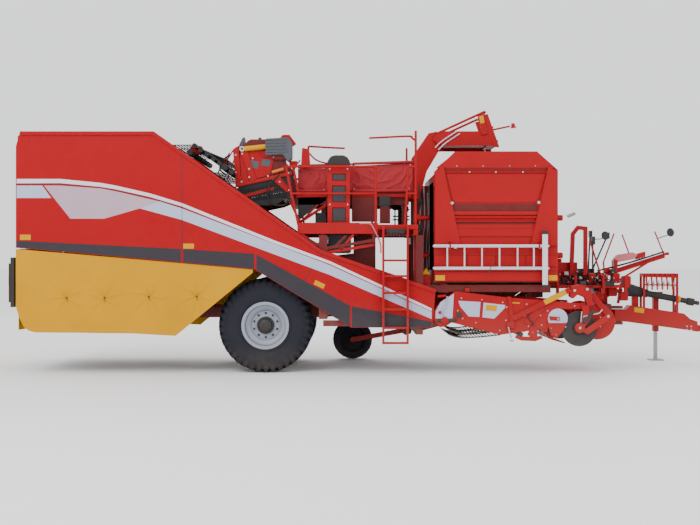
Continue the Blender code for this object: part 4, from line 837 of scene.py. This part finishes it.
ib.rod((3.86, YI - 0.045, 1.05), (3.845, YI - 0.045, 0.87), 0.012)
ib.tube([(3.88, YI - 0.05, 0.96), (4.02, YI - 0.052, 1.00), (4.14, YI - 0.052, 1.02), (4.20, YI - 0.05, 1.08)], 0.011, 8)
ib.done()
id_ = Kit("intake_dark_parts", "black", "intake")
id_.rod((1.46, -1.40, 0.89), (1.78, -1.40, 0.905), 0.030, bevel=0.004)
id_.turn([(0.0, 0.0), (0.0, 0.050), (0.014, 0.050), (0.014, 0.0)], (1.82, YI, 0.99), (0, -1, 0), 24)
id_.rod((3.88, YI - 0.045, 0.86), (4.06, YI - 0.045, 1.06), 0.034, n=18, bevel=0.004)
id_.rod((2.86, -1.395, 0.665), (2.86, 0.20, 0.665), 0.038, n=18)
id_.rod((2.95, YI - 0.025, 1.00), (3.07, YI - 0.025, 0.81), 0.010)
id_.box(3.84, 3.94, YI - 0.035, YI + 0.06, 1.495, 1.55, 0.008)
id_.done()
sh = Kit("share_blades", "steel", "intake")
for y0 in (-1.25, -0.50):
    for k in range(2):
        a = y0 + 0.01 + k * 0.295
        sh.loft([(3.40, a, 0.565), (3.40, a + 0.285, 0.565), (3.63, a + 0.25, 0.500), (3.63, a + 0.035, 0.500)],
                [(3.40, a, 0.585), (3.40, a + 0.285, 0.585), (3.61, a + 0.25, 0.512), (3.61, a + 0.035, 0.512)])
sh.done()
for word, y in (("right", -1.384), ("left", 0.226)):
    h = Kit("coulter_hub_" + word, "red", "coulter_" + word)
    h.turn([(-0.020, 0.0), (-0.020, 0.070), (-0.012, 0.078), (0.012, 0.078), (0.020, 0.070), (0.020, 0.0)], (3.83, y, 0.758), (0, 1, 0), 28)
    h.done()
for word, y in (("right", -0.942), ("left", -0.209)):
    rr = Kit("roller_bolts_" + word, "zinc", "ridge_roller_" + word)
    for k in range(6):
        a = k * math.pi / 3
        for sgn in (-1, 1):
            lo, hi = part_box("ridge_roller_" + word)
            yy = lo[1] + OY if sgn < 0 else hi[1] + OY
            rr.rod((4.165 + 0.09 * math.cos(a), yy - sgn * 0.012, 0.866 + 0.09 * math.sin(a)),
                   (4.165 + 0.09 * math.cos(a), yy - sgn * 0.0005, 0.866 + 0.09 * math.sin(a)), 0.012, n=6)
    rr.done()

# --------------------------------------------------------- picking platform ---
tr = Kit("table_rolls", "red_canvas")
tr.rod((0.05, -0.865, 3.095), (1.04, -0.865, 3.105), 0.032, n=18)
tr.rod((0.05, -0.862, 3.565), (1.08, -0.862, 3.600), 0.022, n=18)
tr.rod((-0.92, -0.862, 3.10), (-0.42, -0.862, 3.095), 0.026, n=18)
tr.done()
ts = Kit("table_strap_marks", "steel")
for x, z in ((-0.88, 3.48), (-0.45, 3.49), (-0.88, 3.12), (-0.45, 3.12), (0.07, 3.50), (1.04, 3.55), (0.07, 3.13), (1.02, 3.14)):
    ts.bolt((x, -0.846, z), (0, -1, 0), 0.012, 0.008)
ts.done()
tp = Kit("table_walls", "red")
tp.prism([(-0.93, 2.98), (-0.40, 2.99), (-0.40, 3.05), (-0.93, 3.05)], -0.86, -0.835, 0.004)
tp.prism([(0.03, 2.985), (1.06, 2.985), (1.06, 3.05), (0.03, 3.05)], -0.86, -0.835, 0.004)
tp.bar((-0.90, -0.87, 2.53), (-0.40, -0.87, 2.86), 0.03, 0.05)
tp.bar((-0.86, -0.88, 2.55), (-0.55, -0.88, 2.86), 0.02, 0.03)
tp.done()
td = Kit("table_dark_parts", "black")
td.prism([(-0.90, 2.58), (-0.62, 2.80), (-0.42, 2.93), (-0.40, 2.99), (-0.90, 2.99)], -0.80, -0.76, 0.004)
td.box(0.50, 0.69, -0.99, -0.80, 2.83, 3.00, 0.012)
td.box(-0.60, -0.42, -0.84, -0.66, 2.50, 2.72, 0.01)
td.done()
rails = Kit("grab_rails", "red")
rails.tube([(-0.74, -0.30, 3.925), (-0.40, -0.30, 3.905), (-0.09, -0.30, 3.89)], 0.018, 10)
rails.tube([(0.32, -1.30, 3.955), (0.97, -1.30, 3.985), (1.04, -1.31, 3.955), (1.11, -1.33, 3.90)], 0.018, 10)
rails.tube([(-0.72, -0.6, 3.78), (-0.60, -0.62, 3.66), (-0.42, -0.6, 3.60), (-0.20, -0.6, 3.62)], 0.014, 10)
rails.rod((-0.74, -0.30, 3.925), (-0.74, -0.30, 3.50), 0.018)
rails.rod((-0.73, -0.32, 3.50), (-0.73, -0.60, 3.50), 0.016)
rails.done()
clips = Kit("rail_clamps", "red")
for x in (0.43, 1.10):
    for z in (2.55, 3.02, 3.45):
        clips.turn([(-0.015, 0.019), (-0.015, 0.0245), (0.015, 0.0245), (0.015, 0.019)], (x, -1.365, z), (0, 0, 1), 20)
for k in range(5):
    clips.bolt((-0.70 + 0.42 * k, -1.392, 2.43), (0, -1, 0), 0.012, 0.010)
clips.done()
bk = Kit("hopper_backing", "dark_red")
bk.prism([(1.33, 1.74), (1.398, 1.74), (1.398, 3.22), (1.33, 3.16)], -1.335, -1.325, 0.002)
bk.done()

# ---------------------------------------------------------------- separator ---
YS = -1.003
sp = Kit("separator_plates", "red")
plate(sp, [(-1.86, 3.22), (-1.36, 3.36), (-1.28, 3.70), (-1.52, 3.80), (-1.88, 3.72)], YS, 0.012)
plate(sp, [(-2.00, 3.80), (-1.90, 3.86), (-1.86, 3.20), (-1.95, 3.16)], YS, 0.030, bevel=0.005)
plate(sp, [(-1.90, 3.86), (-1.76, 3.80), (-1.60, 3.28), (-1.70, 3.24)], YS - 0.014, 0.022, bevel=0.005)
plate(sp, [(-1.96, 3.14), (-1.96, 3.20), (-1.00, 3.42), (-1.00, 3.36)], YS - 0.004, 0.030, bevel=0.005)
plate(sp, [(-1.50, 3.66), (-1.20, 3.60), (-1.04, 3.66), (-1.04, 3.76), (-1.20, 3.72), (-1.50, 3.77)], YS - 0.002, 0.035, bevel=0.005)
plate(sp, [(-1.36, 3.30), (-1.06, 3.05), (-0.98, 3.09), (-1.24, 3.38)], YS - 0.006, 0.030, bevel=0.005)
plate(sp, [(-1.92, 2.94), (-1.92, 3.00), (-1.30, 3.16), (-1.30, 3.10)], YS, 0.020, bevel=0.004)
sp.prism([(-1.30, 3.88), (-1.16, 4.06), (-1.04, 4.06), (-0.92, 3.90), (-0.98, 3.86), (-1.10, 3.98), (-1.24, 3.86)], -0.90, -0.86, 0.005)
sp.prism([(-0.82, 3.83), (-0.70, 3.80), (-0.68, 3.50), (-0.84, 3.52)], -0.99, -0.86, 0.008)
sp.box(-2.73, -2.54, -0.98, -0.80, 3.72, 3.86, 0.01)
sp.done()
sd = Kit("separator_dark_parts", "grey")
sd.prism([(-1.44, 3.97), (-1.05, 3.99), (-0.98, 3.90), (-0.98, 3.62), (-1.06, 3.57), (-1.14, 3.70), (-1.44, 3.68)], YS - 0.12, YS + 0.05, 0.012)
for k in range(5):
    z = 3.73 + k * 0.052
    sd.prism([(-1.43, z), (-1.07, z + 0.01), (-1.07, z + 0.032), (-1.43, z + 0.022)], YS - 0.134, YS - 0.118, 0.005)
sd.prism([(-1.74, 3.50), (-1.58, 3.46), (-1.55, 3.58), (-1.72, 3.62)], YS - 0.015, YS - 0.010)
sd.prism([(-1.52, 3.52), (-1.38, 3.50), (-1.34, 3.62), (-1.50, 3.63)], YS - 0.015, YS - 0.010)
for x in (-1.86, -1.58):
    sd.prism([(x - 0.06, 3.80), (x + 0.06, 3.80), (x + 0.07, 3.86), (x + 0.05, 4.02), (x + 0.01, 4.02), (x - 0.05, 3.90)], -0.86, -0.80, 0.004)
    sd.prism([(x - 0.02, 3.80), (x + 0.10, 3.80), (x + 0.11, 3.86), (x + 0.09, 4.00), (x + 0.07, 4.00), (x + 0.03, 3.90)], -0.60, -0.55, 0.004)
sd.done()
so = Kit("separator_yellow_roller", "yellow")
so.rod((-1.80, YS - 0.045, 3.80), (-1.42, YS - 0.045, 3.84), 0.045, n=20, bevel=0.006)
so.done()
oc = Kit("separator_cylinder", "orange")
oc.rod((-1.33, YS - 0.05, 3.40), (-1.13, YS - 0.05, 3.46), 0.030, n=18, bevel=0.005)
oc.done()
sb = Kit("separator_bolts", "zinc")
for x, z in ((-1.95, 3.70), (-1.95, 3.40), (-1.84, 3.72), (-1.72, 3.46), (-1.72, 3.32), (-1.30, 3.66), (-1.12, 3.68), (-1.42, 3.72),
             (-1.40, 3.34), (-1.20, 3.24), (-1.04, 3.10), (-1.85, 3.24), (-1.05, 3.39), (-1.66, 3.64)):
    sb.bolt((x, YS - 0.036, z), (0, -1, 0), 0.014, 0.012)
sb.turn([(0.0, 0.020), (0.0, 0.045), (0.02, 0.045), (0.02, 0.020)], (-1.84, YS - 0.036, 3.80), (0, -1, 0), 24)
sb.done()
st = Kit("separator_star_rows", "rubber")
for x, z in ((-1.78, 3.30), (-1.58, 3.22), (-1.38, 3.14), (-1.18, 3.06)):
    for k in range(24):
        y = -0.92 + 1.84 * k / 23
        pts = [(x + (0.078 if q % 2 else 0.050) * math.cos(q * math.pi / 6 + k), z + (0.078 if q % 2 else 0.050) * math.sin(q * math.pi / 6 + k))
               for q in range(12)]
        st.prism(pts, y - 0.012, y + 0.012)
st.done()
fing = Kit("separator_fingers", "rubber")
for row, (za, zb) in enumerate(((3.05, 3.12), (2.93, 2.98))):
    for k in range(22):
        x = -1.86 + 0.036 * k
        fing.rod((x, YS - 0.012, zb - 0.0 + 0.004 * k), (x - 0.004, YS - 0.020, za - 0.03 + 0.004 * k), 0.009, 0.006, n=8)
fing.done()
sh2 = Kit("separator_hoses", "rubber")
sh2.tube([(-1.20, YS - 0.03, 3.36), (-1.36, YS - 0.06, 3.20), (-1.41, YS - 0.06, 3.00), (-1.32, YS - 0.05, 2.86), (-1.14, YS - 0.04, 2.84), (-1.02, YS - 0.02, 2.92)], 0.013, 10)
sh2.tube([(-1.16, YS - 0.05, 3.30), (-1.05, YS - 0.07, 3.18), (-1.02, YS - 0.07, 3.02), (-1.10, YS - 0.05, 2.85)], 0.012, 10)
sh2.tube([(-2.05, YS - 0.01, 3.70), (-2.16, YS - 0.03, 3.62), (-2.22, YS - 0.03, 3.46), (-2.12, YS - 0.02, 3.36)], 0.014, 10)
sh2.tube([(-0.86, -0.90, 3.62), (-0.94, -0.93, 3.50), (-0.98, -0.94, 3.34), (-0.92, -0.93, 3.16)], 0.012, 10)
sh2.done()

# ------------------------------------------------------- front: hydraulics ---
rng = random.Random(7)
hb = Kit("valve_bodies", "steel")
hr = Kit("valve_blocks_red", "red")
hd = Kit("valve_caps", "black")
for i in range(16):
    x = 3.72 + 0.075 * i + rng.uniform(-0.02, 0.02); z = 1.50 + rng.uniform(-0.03, 0.20); y = rng.uniform(-0.10, 0.30)
    k = (hb, hr, hd)[i % 3]
    k.box(x, x + rng.uniform(0.05, 0.10), y, y + 0.07, z, z + rng.uniform(0.05, 0.12), 0.004)
for i in range(26):
    x = 3.70 + 0.047 * i; z = 1.46 + rng.uniform(0.0, 0.22); y = rng.uniform(-0.15, 0.28)
    hb.rod((x, y, z), (x + rng.uniform(-0.02, 0.02), y - 0.05, z + rng.uniform(-0.03, 0.05)), 0.012, n=8)
hb.rod((3.99, 0.28, 2.70), (4.13, 0.28, 2.76), 0.030, n=18)
hb.done(); hr.done(); hd.done()
hh = Kit("valve_hoses", "rubber")
for i in range(13):
    x = 3.70 + 0.070 * i; y = rng.uniform(-0.16, 0.24); z = 1.48 + rng.uniform(0, 0.10)
    hh.tube([(x, y, z), (x + rng.uniform(0.02, 0.08), y - 0.08, z + rng.uniform(0.03, 0.08)), (x + 0.13, y - 0.10, z + rng.uniform(-0.02, 0.05)),
             (x + rng.uniform(0.14, 0.24), y - 0.02, z - rng.uniform(0.0, 0.10))], 0.0105, 8, 5)
hh.done()
fr = Kit("front_brackets", "red")
fr.box(3.66, 5.02, -0.10, 0.30, 1.40, 1.45, 0.006)
for x in (3.70, 4.02, 4.52, 4.92):
    fr.box(x, x + 0.05, -0.16, -0.10, 1.30, 1.62, 0.005)
fr.bar((4.66, 0.30, 1.45), (4.42, 0.32, 2.24), 0.022, 0.030)
fr.bar((4.75, 0.60, 1.60), (4.73, 0.60, 1.86), 0.020, 0.028)
fr.bar((4.73, 0.60, 1.86), (4.93, 0.60, 2.40), 0.018, 0.026)
fr.bar((5.25, 0.72, 2.00), (5.11, 0.72, 2.38), 0.018, 0.024)
fr.bar((4.95, 0.40, 1.10), (5.02, 0.40, 1.52), 0.03, 0.05)
fr.done()
lamp = Kit("work_lamp", "black")
lamp.box(4.54, 4.75, -0.14, -0.06, 1.44, 1.53, 0.014)
lamp.done()
mir = Kit("round_mirrors", "black")
for x, y, z in ((4.69, 0.30, 2.35), (6.02, 0.72, 2.42)):
    mir.turn([(-0.014, 0.0), (-0.014, 0.060), (-0.004, 0.082), (0.006, 0.080), (0.010, 0.0)], (x, y, z), (0.35, -0.9, 0.12), 32)
mir.tube([(4.42, 0.32, 2.22), (4.50, 0.31, 2.28), (4.60, 0.30, 2.29), (4.69, 0.31, 2.32)], 0.009, 8)
mir.done()
mg = Kit("mirror_glass", "disc")
for x, y, z in ((4.69, 0.30, 2.35), (6.02, 0.72, 2.42)):
    c = Vector((x, y, z)); n = Vector((0.35, -0.9, 0.12)).normalized()
    mg.rod(c + n * 0.0085, c + n * 0.0125, 0.072, n=32)
mg.done()
gl = Kit("drive_shaft_bellows", "rubber", "drawbar")
a0, a1 = Vector((5.20, 0.75, 1.345)), Vector((6.36, 0.75, 1.125))
d0 = (a1 - a0).normalized()
prof = [(0.0, 0.075)]
for k in range(9):
    prof += [(0.015 + 0.036 * k, 0.118 - 0.003 * k), (0.033 + 0.036 * k, 0.092 - 0.003 * k)]
prof += [(0.37, 0.082), (0.40, 0.070), (0.43, 0.058), (0.43, 0.045), (0.0, 0.045)]
gl.turn(prof, a0, d0, 28)
gl.turn([(0.0, 0.052), (0.0, 0.060), (0.55, 0.060), (0.56, 0.052)], a0 + d0 * 0.40, d0, 24)
gl.done()
gy = Kit("drive_shaft_ring", "yellow", "drawbar")
gy.turn([(0.0, 0.052), (0.0, 0.066), (0.045, 0.070), (0.050, 0.052)], a0 + d0 * 0.97, d0, 24)
gy.done()
hoses = Kit("boom_hoses", "rubber")
for k in range(5):
    dy = -0.055 + 0.026 * k
    hoses.tube([(4.66, 0.75 + dy, 1.700), (4.95, 0.75 + dy, 1.770 + 0.006 * (k % 2)), (5.30, 0.75 + dy, 1.865), (5.65, 0.75 + dy, 1.975),
                (5.90, 0.75 + dy, 2.055)], 0.012, 10)
hoses.done()
fcl = Kit("boom_clips", "zinc")
for x, z in ((4.95, 1.745), (5.35, 1.865), (5.70, 1.975)):
    fcl.box(x - 0.012, x + 0.012, 0.665, 0.835, z + 0.035, z + 0.043, 0.002)
fcl.done()
dy = Kit("drawbar_plates", "yellow", "drawbar")
lo_, hi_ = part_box("drawbar")
dy.prism([(5.32, 1.02), (5.50, 0.995), (5.495, 0.905), (5.315, 0.930)], 0.6285, 0.6265, 0.0005)
dy.done()
db = Kit("drawbar_bolts", "zinc", "drawbar")
for x, z in ((6.30, 0.66), (6.30, 0.60), (6.38, 0.66), (6.38, 0.60)):
    db.bolt((x, 0.63, z), (0, -1, 0), 0.014, 0.010)
db.done()

# ------------------------------------------------------------- tail lamps ---
for side, word in SIDES:
    y = side * 1.34
    for mat, z0, z1 in (("amber", 1.66, 1.80), ("red_lens", 1.48, 1.64), ("amber", 1.30, 1.44)):
        k = Kit("lens_%s_%d_%s" % (mat, int(z0 * 100), word), mat)
        k.box(-5.7035, -5.695, y - 0.075, y + 0.075, z0, z1, 0.006)
        k.done()

# --------------------------------------------------------------- neck, arch ---
na = Kit("neck_rails", "alu", "neck")
for k in (0.0, 0.055):
    na.tube([(1.47 + k, -0.834, 3.845 - k * 0.7), (1.60 + k, -0.834, 3.965 - k * 0.7), (1.84 + k, -0.834, 4.125 - k * 0.7)], 0.011, 10)
na.done()

nk = Kit("neck_trim", "red", "neck")
YN = -0.8215
nk.prism([(2.28, 4.06), (2.38, 4.08), (2.30, 4.42), (2.20, 4.40)], YN - 0.02, YN, 0.004)
nk.done()
ny_ = Kit("neck_plate", "yellow", "neck")
ny_.prism([(2.25, 4.26), (2.32, 4.275), (2.30, 4.40), (2.225, 4.385)], YN - 0.0225, YN - 0.0205, 0.0005)
ny_.done()
nl = Kit("neck_lamp", "red", "neck")
nl.turn([(0.0, 0.0), (0.0, 0.030), (0.05, 0.036), (0.07, 0.055), (0.078, 0.055), (0.078, 0.0)], (2.82, -0.78, 4.27), (0.1, 0, -1), 24)
nl.done()


# ------------------------------------------------- inner skins and hoppers ---
# painted shade: the yellow canvas under the bunker, darkened to olive to stand for the shadow it lies in
olive = finish("yellow_canvas_in_painted_shade", (0.14, 0.085, 0.0), 0.75, var=0.15, dust=0.3, dust_z=(0.8, 2.0), bump=0.2, bump_scale=200, spec=0.2)
M["olive"] = olive
oc2 = Kit("under_bunker_sheet", "olive")
oc2.prism([(1.46, 1.20), (3.05, 1.20), (3.42, 1.46), (3.42, 1.525), (1.46, 1.525)], 0.725, 0.735, 0.003)
oc2.prism_x([(-1.30, 1.528), (0.72, 1.528), (0.72, 1.534), (-1.30, 1.534)], 1.46, 3.42)
oc2.done()
# red panel behind the bunker in the darkened red, as painted shade
ub = Kit("under_bunker_walls", "dark_red")
ub.prism([(3.06, 1.20), (3.62, 1.20), (3.62, 1.525), (3.43, 1.525), (3.43, 1.455)], 0.700, 0.712, 0.003)
ub.done()
# hopper panels seen through the gap, in the darkened red as painted shade
hp = Kit("hopper_walls", "dark_red")
hp.prism([(0.03, 2.56), (0.47, 2.56), (0.47, 2.98), (0.03, 2.98)], -0.955, -0.93, 0.004)
hp.prism([(0.51, 2.53), (0.69, 2.53), (0.69, 2.82), (0.51, 2.82)], -0.955, -0.93, 0.004)
hp.prism([(1.06, 1.32), (1.38, 1.32), (1.38, 3.20), (1.06, 3.20)], -0.62, -0.60, 0.003)
hp.done()
ps = Kit("hopper_pipes", "steel")
ps.tube([(1.25, -1.02, 1.62), (1.25, -1.02, 2.30), (1.28, -1.02, 2.55), (1.26, -1.02, 3.16)], 0.016, 10)
ps.tube([(1.33, -1.00, 1.62), (1.31, -1.00, 2.10), (1.34, -1.00, 2.60), (1.33, -1.00, 3.05)], 0.012, 10)
ps.tube([(1.20, -0.95, 1.75), (1.19, -0.95, 2.30), (1.22, -0.95, 2.95)], 0.012, 10)
ps.done()
bk = Kit("hopper_backing", "dark_red")
bk.prism([(1.33, 1.74), (1.398, 1.74), (1.398, 3.22), (1.33, 3.16)], -1.335, -1.325, 0.002)
bk.done()
ph = Kit("bunker_hinge_bosses", "red")
for z in (2.62, 1.985):
    ph.rod((1.12, -1.16, z), (1.395, -1.16, z), 0.036, n=20, bevel=0.004)
    ph.rod((1.12, -1.16, z), (1.19, -1.16, z), 0.058, n=20, bevel=0.006)
    ph.rod((3.475, -1.16, z), (3.60, -1.16, z), 0.050, n=20, bevel=0.006)
ph.box(1.08, 1.11, -1.20, -1.10, 1.30, 3.10, 0.003)
ph.done()
pb = Kit("hopper_dark_parts", "black")
for z0 in (1.55, 1.72, 2.28, 2.42, 2.86):
    pb.box(1.15, 1.23, -1.10, -1.02, z0, z0 + 0.09, 0.01)
pb.tube([(1.16, -1.08, 3.20), (1.20, -1.12, 2.90), (1.15, -1.10, 2.60), (1.18, -1.10, 2.20), (1.16, -1.08, 1.80)], 0.014, 8)
for x in (0.80, 0.98):
    pb.rod((x, -0.30, 2.50), (x, -0.30, 2.98), 0.012, n=8)
for z in (2.62, 2.68, 2.80):
    pb.rod((0.76, -0.30, z), (1.06, -0.30, z), 0.012, n=8)
pb.box(0.92, 1.04, -0.34, -0.26, 2.76, 2.86, 0.01)
pb.done()
tri = Kit("blank_triangle", "yellow")
tri.prism([(1.215, 1.665), (1.345, 1.665), (1.28, 1.775)], -1.285, -1.282)
tri.done()
tb = Kit("triangle_holder", "red")
tb.prism([(1.20, 1.30), (1.36, 1.30), (1.36, 1.66), (1.20, 1.66)], -1.280, -1.268, 0.003)
tb.prism([(1.225, 1.67), (1.335, 1.67), (1.28, 1.765)], -1.281, -1.268)
tb.done()
# truss below the platform, and what shows behind it
tu = Kit("platform_truss", "red")
for a_, b_, w_ in (((-0.84, 2.345), (-0.36, 2.035), 0.055), ((-0.36, 2.035), (0.42, 2.165), 0.050), ((-0.16, 2.08), (0.06, 2.335), 0.045),
                   ((0.40, 2.165), (0.40, 2.335), 0.045), ((-0.52, 2.14), (-0.44, 2.24), 0.09)):
    ax_, az_ = a_; bx_, bz_ = b_
    L_ = math.hypot(bx_ - ax_, bz_ - az_); nx_, nz_ = -(bz_ - az_) / L_ * w_ / 2, (bx_ - ax_) / L_ * w_ / 2
    tu.prism([(ax_ - nx_, az_ - nz_), (bx_ - nx_, bz_ - nz_), (bx_ + nx_, bz_ + nz_), (ax_ + nx_, az_ + nz_)], -1.388, -1.372, 0.003)
tu.done()
du = Kit("lower_column", "grey")
du.box(-0.37, 0.02, -1.05, -0.86, 2.02, 2.34, 0.02)
du.done()
dw = Kit("web_hood_side", "dark_red")
dw.prism([(-0.30, 1.98), (0.44, 1.72), (0.44, 2.30), (0.06, 2.30), (0.06, 2.02)], -0.93, -0.915, 0.003)
dw.done()
dk = Kit("below_platform_parts", "black")
dk.box(0.10, 0.28, -1.02, -0.94, 2.12, 2.20, 0.01)
dk.rod((0.12, -1.00, 2.20), (0.12, -1.00, 2.33), 0.018, n=12)
dk.tube([(0.06, -0.98, 2.31), (0.15, -1.03, 2.24), (0.24, -1.02, 2.25), (0.33, -0.98, 2.32)], 0.012, 8)
dk.done()
hoop = Kit("step_handrails", "pink")
hoop.tube([(0.16, -1.405, 2.515), (0.30, -1.41, 2.515), (0.375, -1.415, 2.47), (0.50, -1.42, 2.20), (0.515, -1.42, 2.02)], 0.013, 10)
hoop.done()
stp = Kit("ladder_head", "black")
stp.box(0.60, 0.92, -1.47, -1.42, 2.36, 2.425, 0.004)
for k in range(6):
    stp.box(0.615 + 0.05 * k, 0.640 + 0.05 * k, -1.47, -1.44, 2.30, 2.36, 0.003)
stp.done()
# separator: dark sieve below, open struts at its rear
dsp = Kit("separator_lower_skirt", "rubber")
dsp.prism([(-1.95, 2.84), (-1.28, 2.84), (-1.00, 3.03), (-1.02, 3.34), (-1.95, 3.13)], -1.0045, -1.001)
dsp.done()
dsb = Kit("separator_sieve_pins", "zinc")
for k in range(17):
    dsb.rod((-1.90 + 0.045 * k, -1.0065, 2.93 + 0.008 * k), (-1.895 + 0.045 * k, -1.016, 2.93 + 0.008 * k), 0.0065, n=8)
dsb.done()
ss = Kit("separator_struts", "red")
for a_, b_ in (((-2.00, 3.78), (-2.18, 3.50)), ((-2.06, 3.74), (-2.26, 3.40)), ((-1.97, 3.66), (-2.10, 3.28))):
    ss.bar((a_[0], -0.985, a_[1]), (b_[0], -0.985, b_[1]), 0.018, 0.022)
ss.box(-1.04, -0.90, -0.995, -0.93, 3.50, 3.60, 0.006)
ss.bar((-0.98, -0.96, 3.52), (-0.88, -0.98, 3.05), 0.03, 0.04)
ss.bar((-1.02, -0.96, 2.90), (-0.86, -0.98, 2.56), 0.03, 0.04)
ss.done()
# upright rollers of the upper web, above the sloping edge
ur = Kit("web_edge_rollers", "rubber")
for k in range(7):
    x = -2.62 + 0.105 * k; z = 3.885 - 0.075 * k
    ur.rod((x, -1.27, z - 0.05), (x, 1.27, z - 0.05), 0.040, n=16)
ur.done()
# hose rack with its row of tines
rk = Kit("rack_tines", "red", "drawbar")
rk.rod((5.50, 0.62, 1.60), (6.12, 0.62, 1.585), 0.018, n=12)
rk.rod((5.52, 0.62, 1.44), (6.10, 0.62, 1.43), 0.014, n=12)
for k in range(7):
    x = 5.53 + 0.095 * k
    rk.bar((x, 0.605, 1.635), (x + 0.02, 0.605, 1.345), 0.012, 0.030)
rk.done()
rg = Kit("rack_couplings", "steel", "drawbar")
for k in range(6):
    x = 5.575 + 0.095 * k
    rg.rod((x, 0.585, 1.46), (x, 0.64, 1.46), 0.020, n=12)
    rg.rod((x, 0.60, 1.40), (x, 0.60, 1.52), 0.009, n=8)
rg.done()
bp = Kit("boom_boxes", "pink")
bp.prism([(4.94, 1.92), (5.02, 2.00), (5.30, 2.045), (5.38, 1.99), (5.30, 1.915), (5.00, 1.86)], 0.62, 0.80, 0.010)
bp.done()
br = Kit("boom_parts", "red")
br.prism([(5.37, 1.915), (5.53, 1.965), (5.53, 2.06), (5.37, 2.01)], 0.64, 0.82, 0.006)
br.bar((4.55, 0.75, 1.60), (4.70, 0.75, 1.66), 0.06, 0.07)
br.bar((5.90, 0.75, 2.02), (5.73, 0.75, 2.44), 0.018, 0.024)
br.bar((5.02, 0.72, 1.50), (5.60, 0.72, 1.86), 0.03, 0.035)
br.bar((4.70, 0.75, 1.575), (5.92, 0.75, 1.965), 0.045, 0.045)
br.box(4.93, 5.00, 0.60, 0.80, 1.60, 1.90, 0.006)
for x, z in ((4.34, 1.60), (4.56, 1.58), (4.78, 1.60), (4.98, 1.55)):
    br.box(x, x + 0.13, 0.10, 0.32, z - 0.12, z + 0.06, 0.010)
for x, z in ((4.42, 1.22), (4.66, 1.28), (4.86, 1.20)):
    br.box(x + 0.06, x + 0.22, 0.17, 0.30, z - 0.04, z + 0.12, 0.012)
br.done()
hook = Kit("boom_arm", "black")
hook.tube([(5.78, 0.75, 2.30), (5.88, 0.74, 2.34), (5.98, 0.73, 2.37), (6.02, 0.725, 2.41)], 0.009, 8)
hook.done()

# ----------------------------------------------------------------- floor ---
bm = bmesh.new()
bmesh.ops.create_grid(bm, x_segments=1, y_segments=1, size=150)
mesh = bpy.data.meshes.new("floor"); bm.to_mesh(mesh); bm.free()
floor = bpy.data.objects.new("floor", mesh)
fm = bpy.data.materials.new("floor_pale"); fm.use_nodes = True
fm.node_tree.nodes["Principled BSDF"].inputs["Base Color"].default_value = (0.90, 0.90, 0.90, 1)
fm.node_tree.nodes["Principled BSDF"].inputs["Roughness"].default_value = 0.9
mesh.materials.append(fm)
bpy.context.scene.collection.objects.link(floor)

world = bpy.data.worlds.new("studio"); bpy.context.scene.world = world
world.use_nodes = True
world.node_tree.nodes["Background"].inputs[0].default_value = (0.97, 0.985, 1.0, 1)
world.node_tree.nodes["Background"].inputs[1].default_value = 1.45


def area_light(name, loc, target, size, power, tint=(1, 1, 1)):
    li = bpy.data.lights.new(name, "AREA"); li.size = size; li.energy = power; li.color = tint
    ob = bpy.data.objects.new(name, li)
    ob.location = loc
    ob.rotation_euler = (Vector(target) - Vector(loc)).to_track_quat("-Z", "Y").to_euler()
    bpy.context.scene.collection.objects.link(ob)


area_light("key", (-9, -13, 13), (0, 0, 1.5), 9, 1500, (1, 0.98, 0.96))
area_light("fill", (11, -12, 8), (1, 0, 1.5), 9, 500, (0.95, 0.98, 1))
area_light("back", (0, 14, 12), (0, 0, 2), 10, 700)
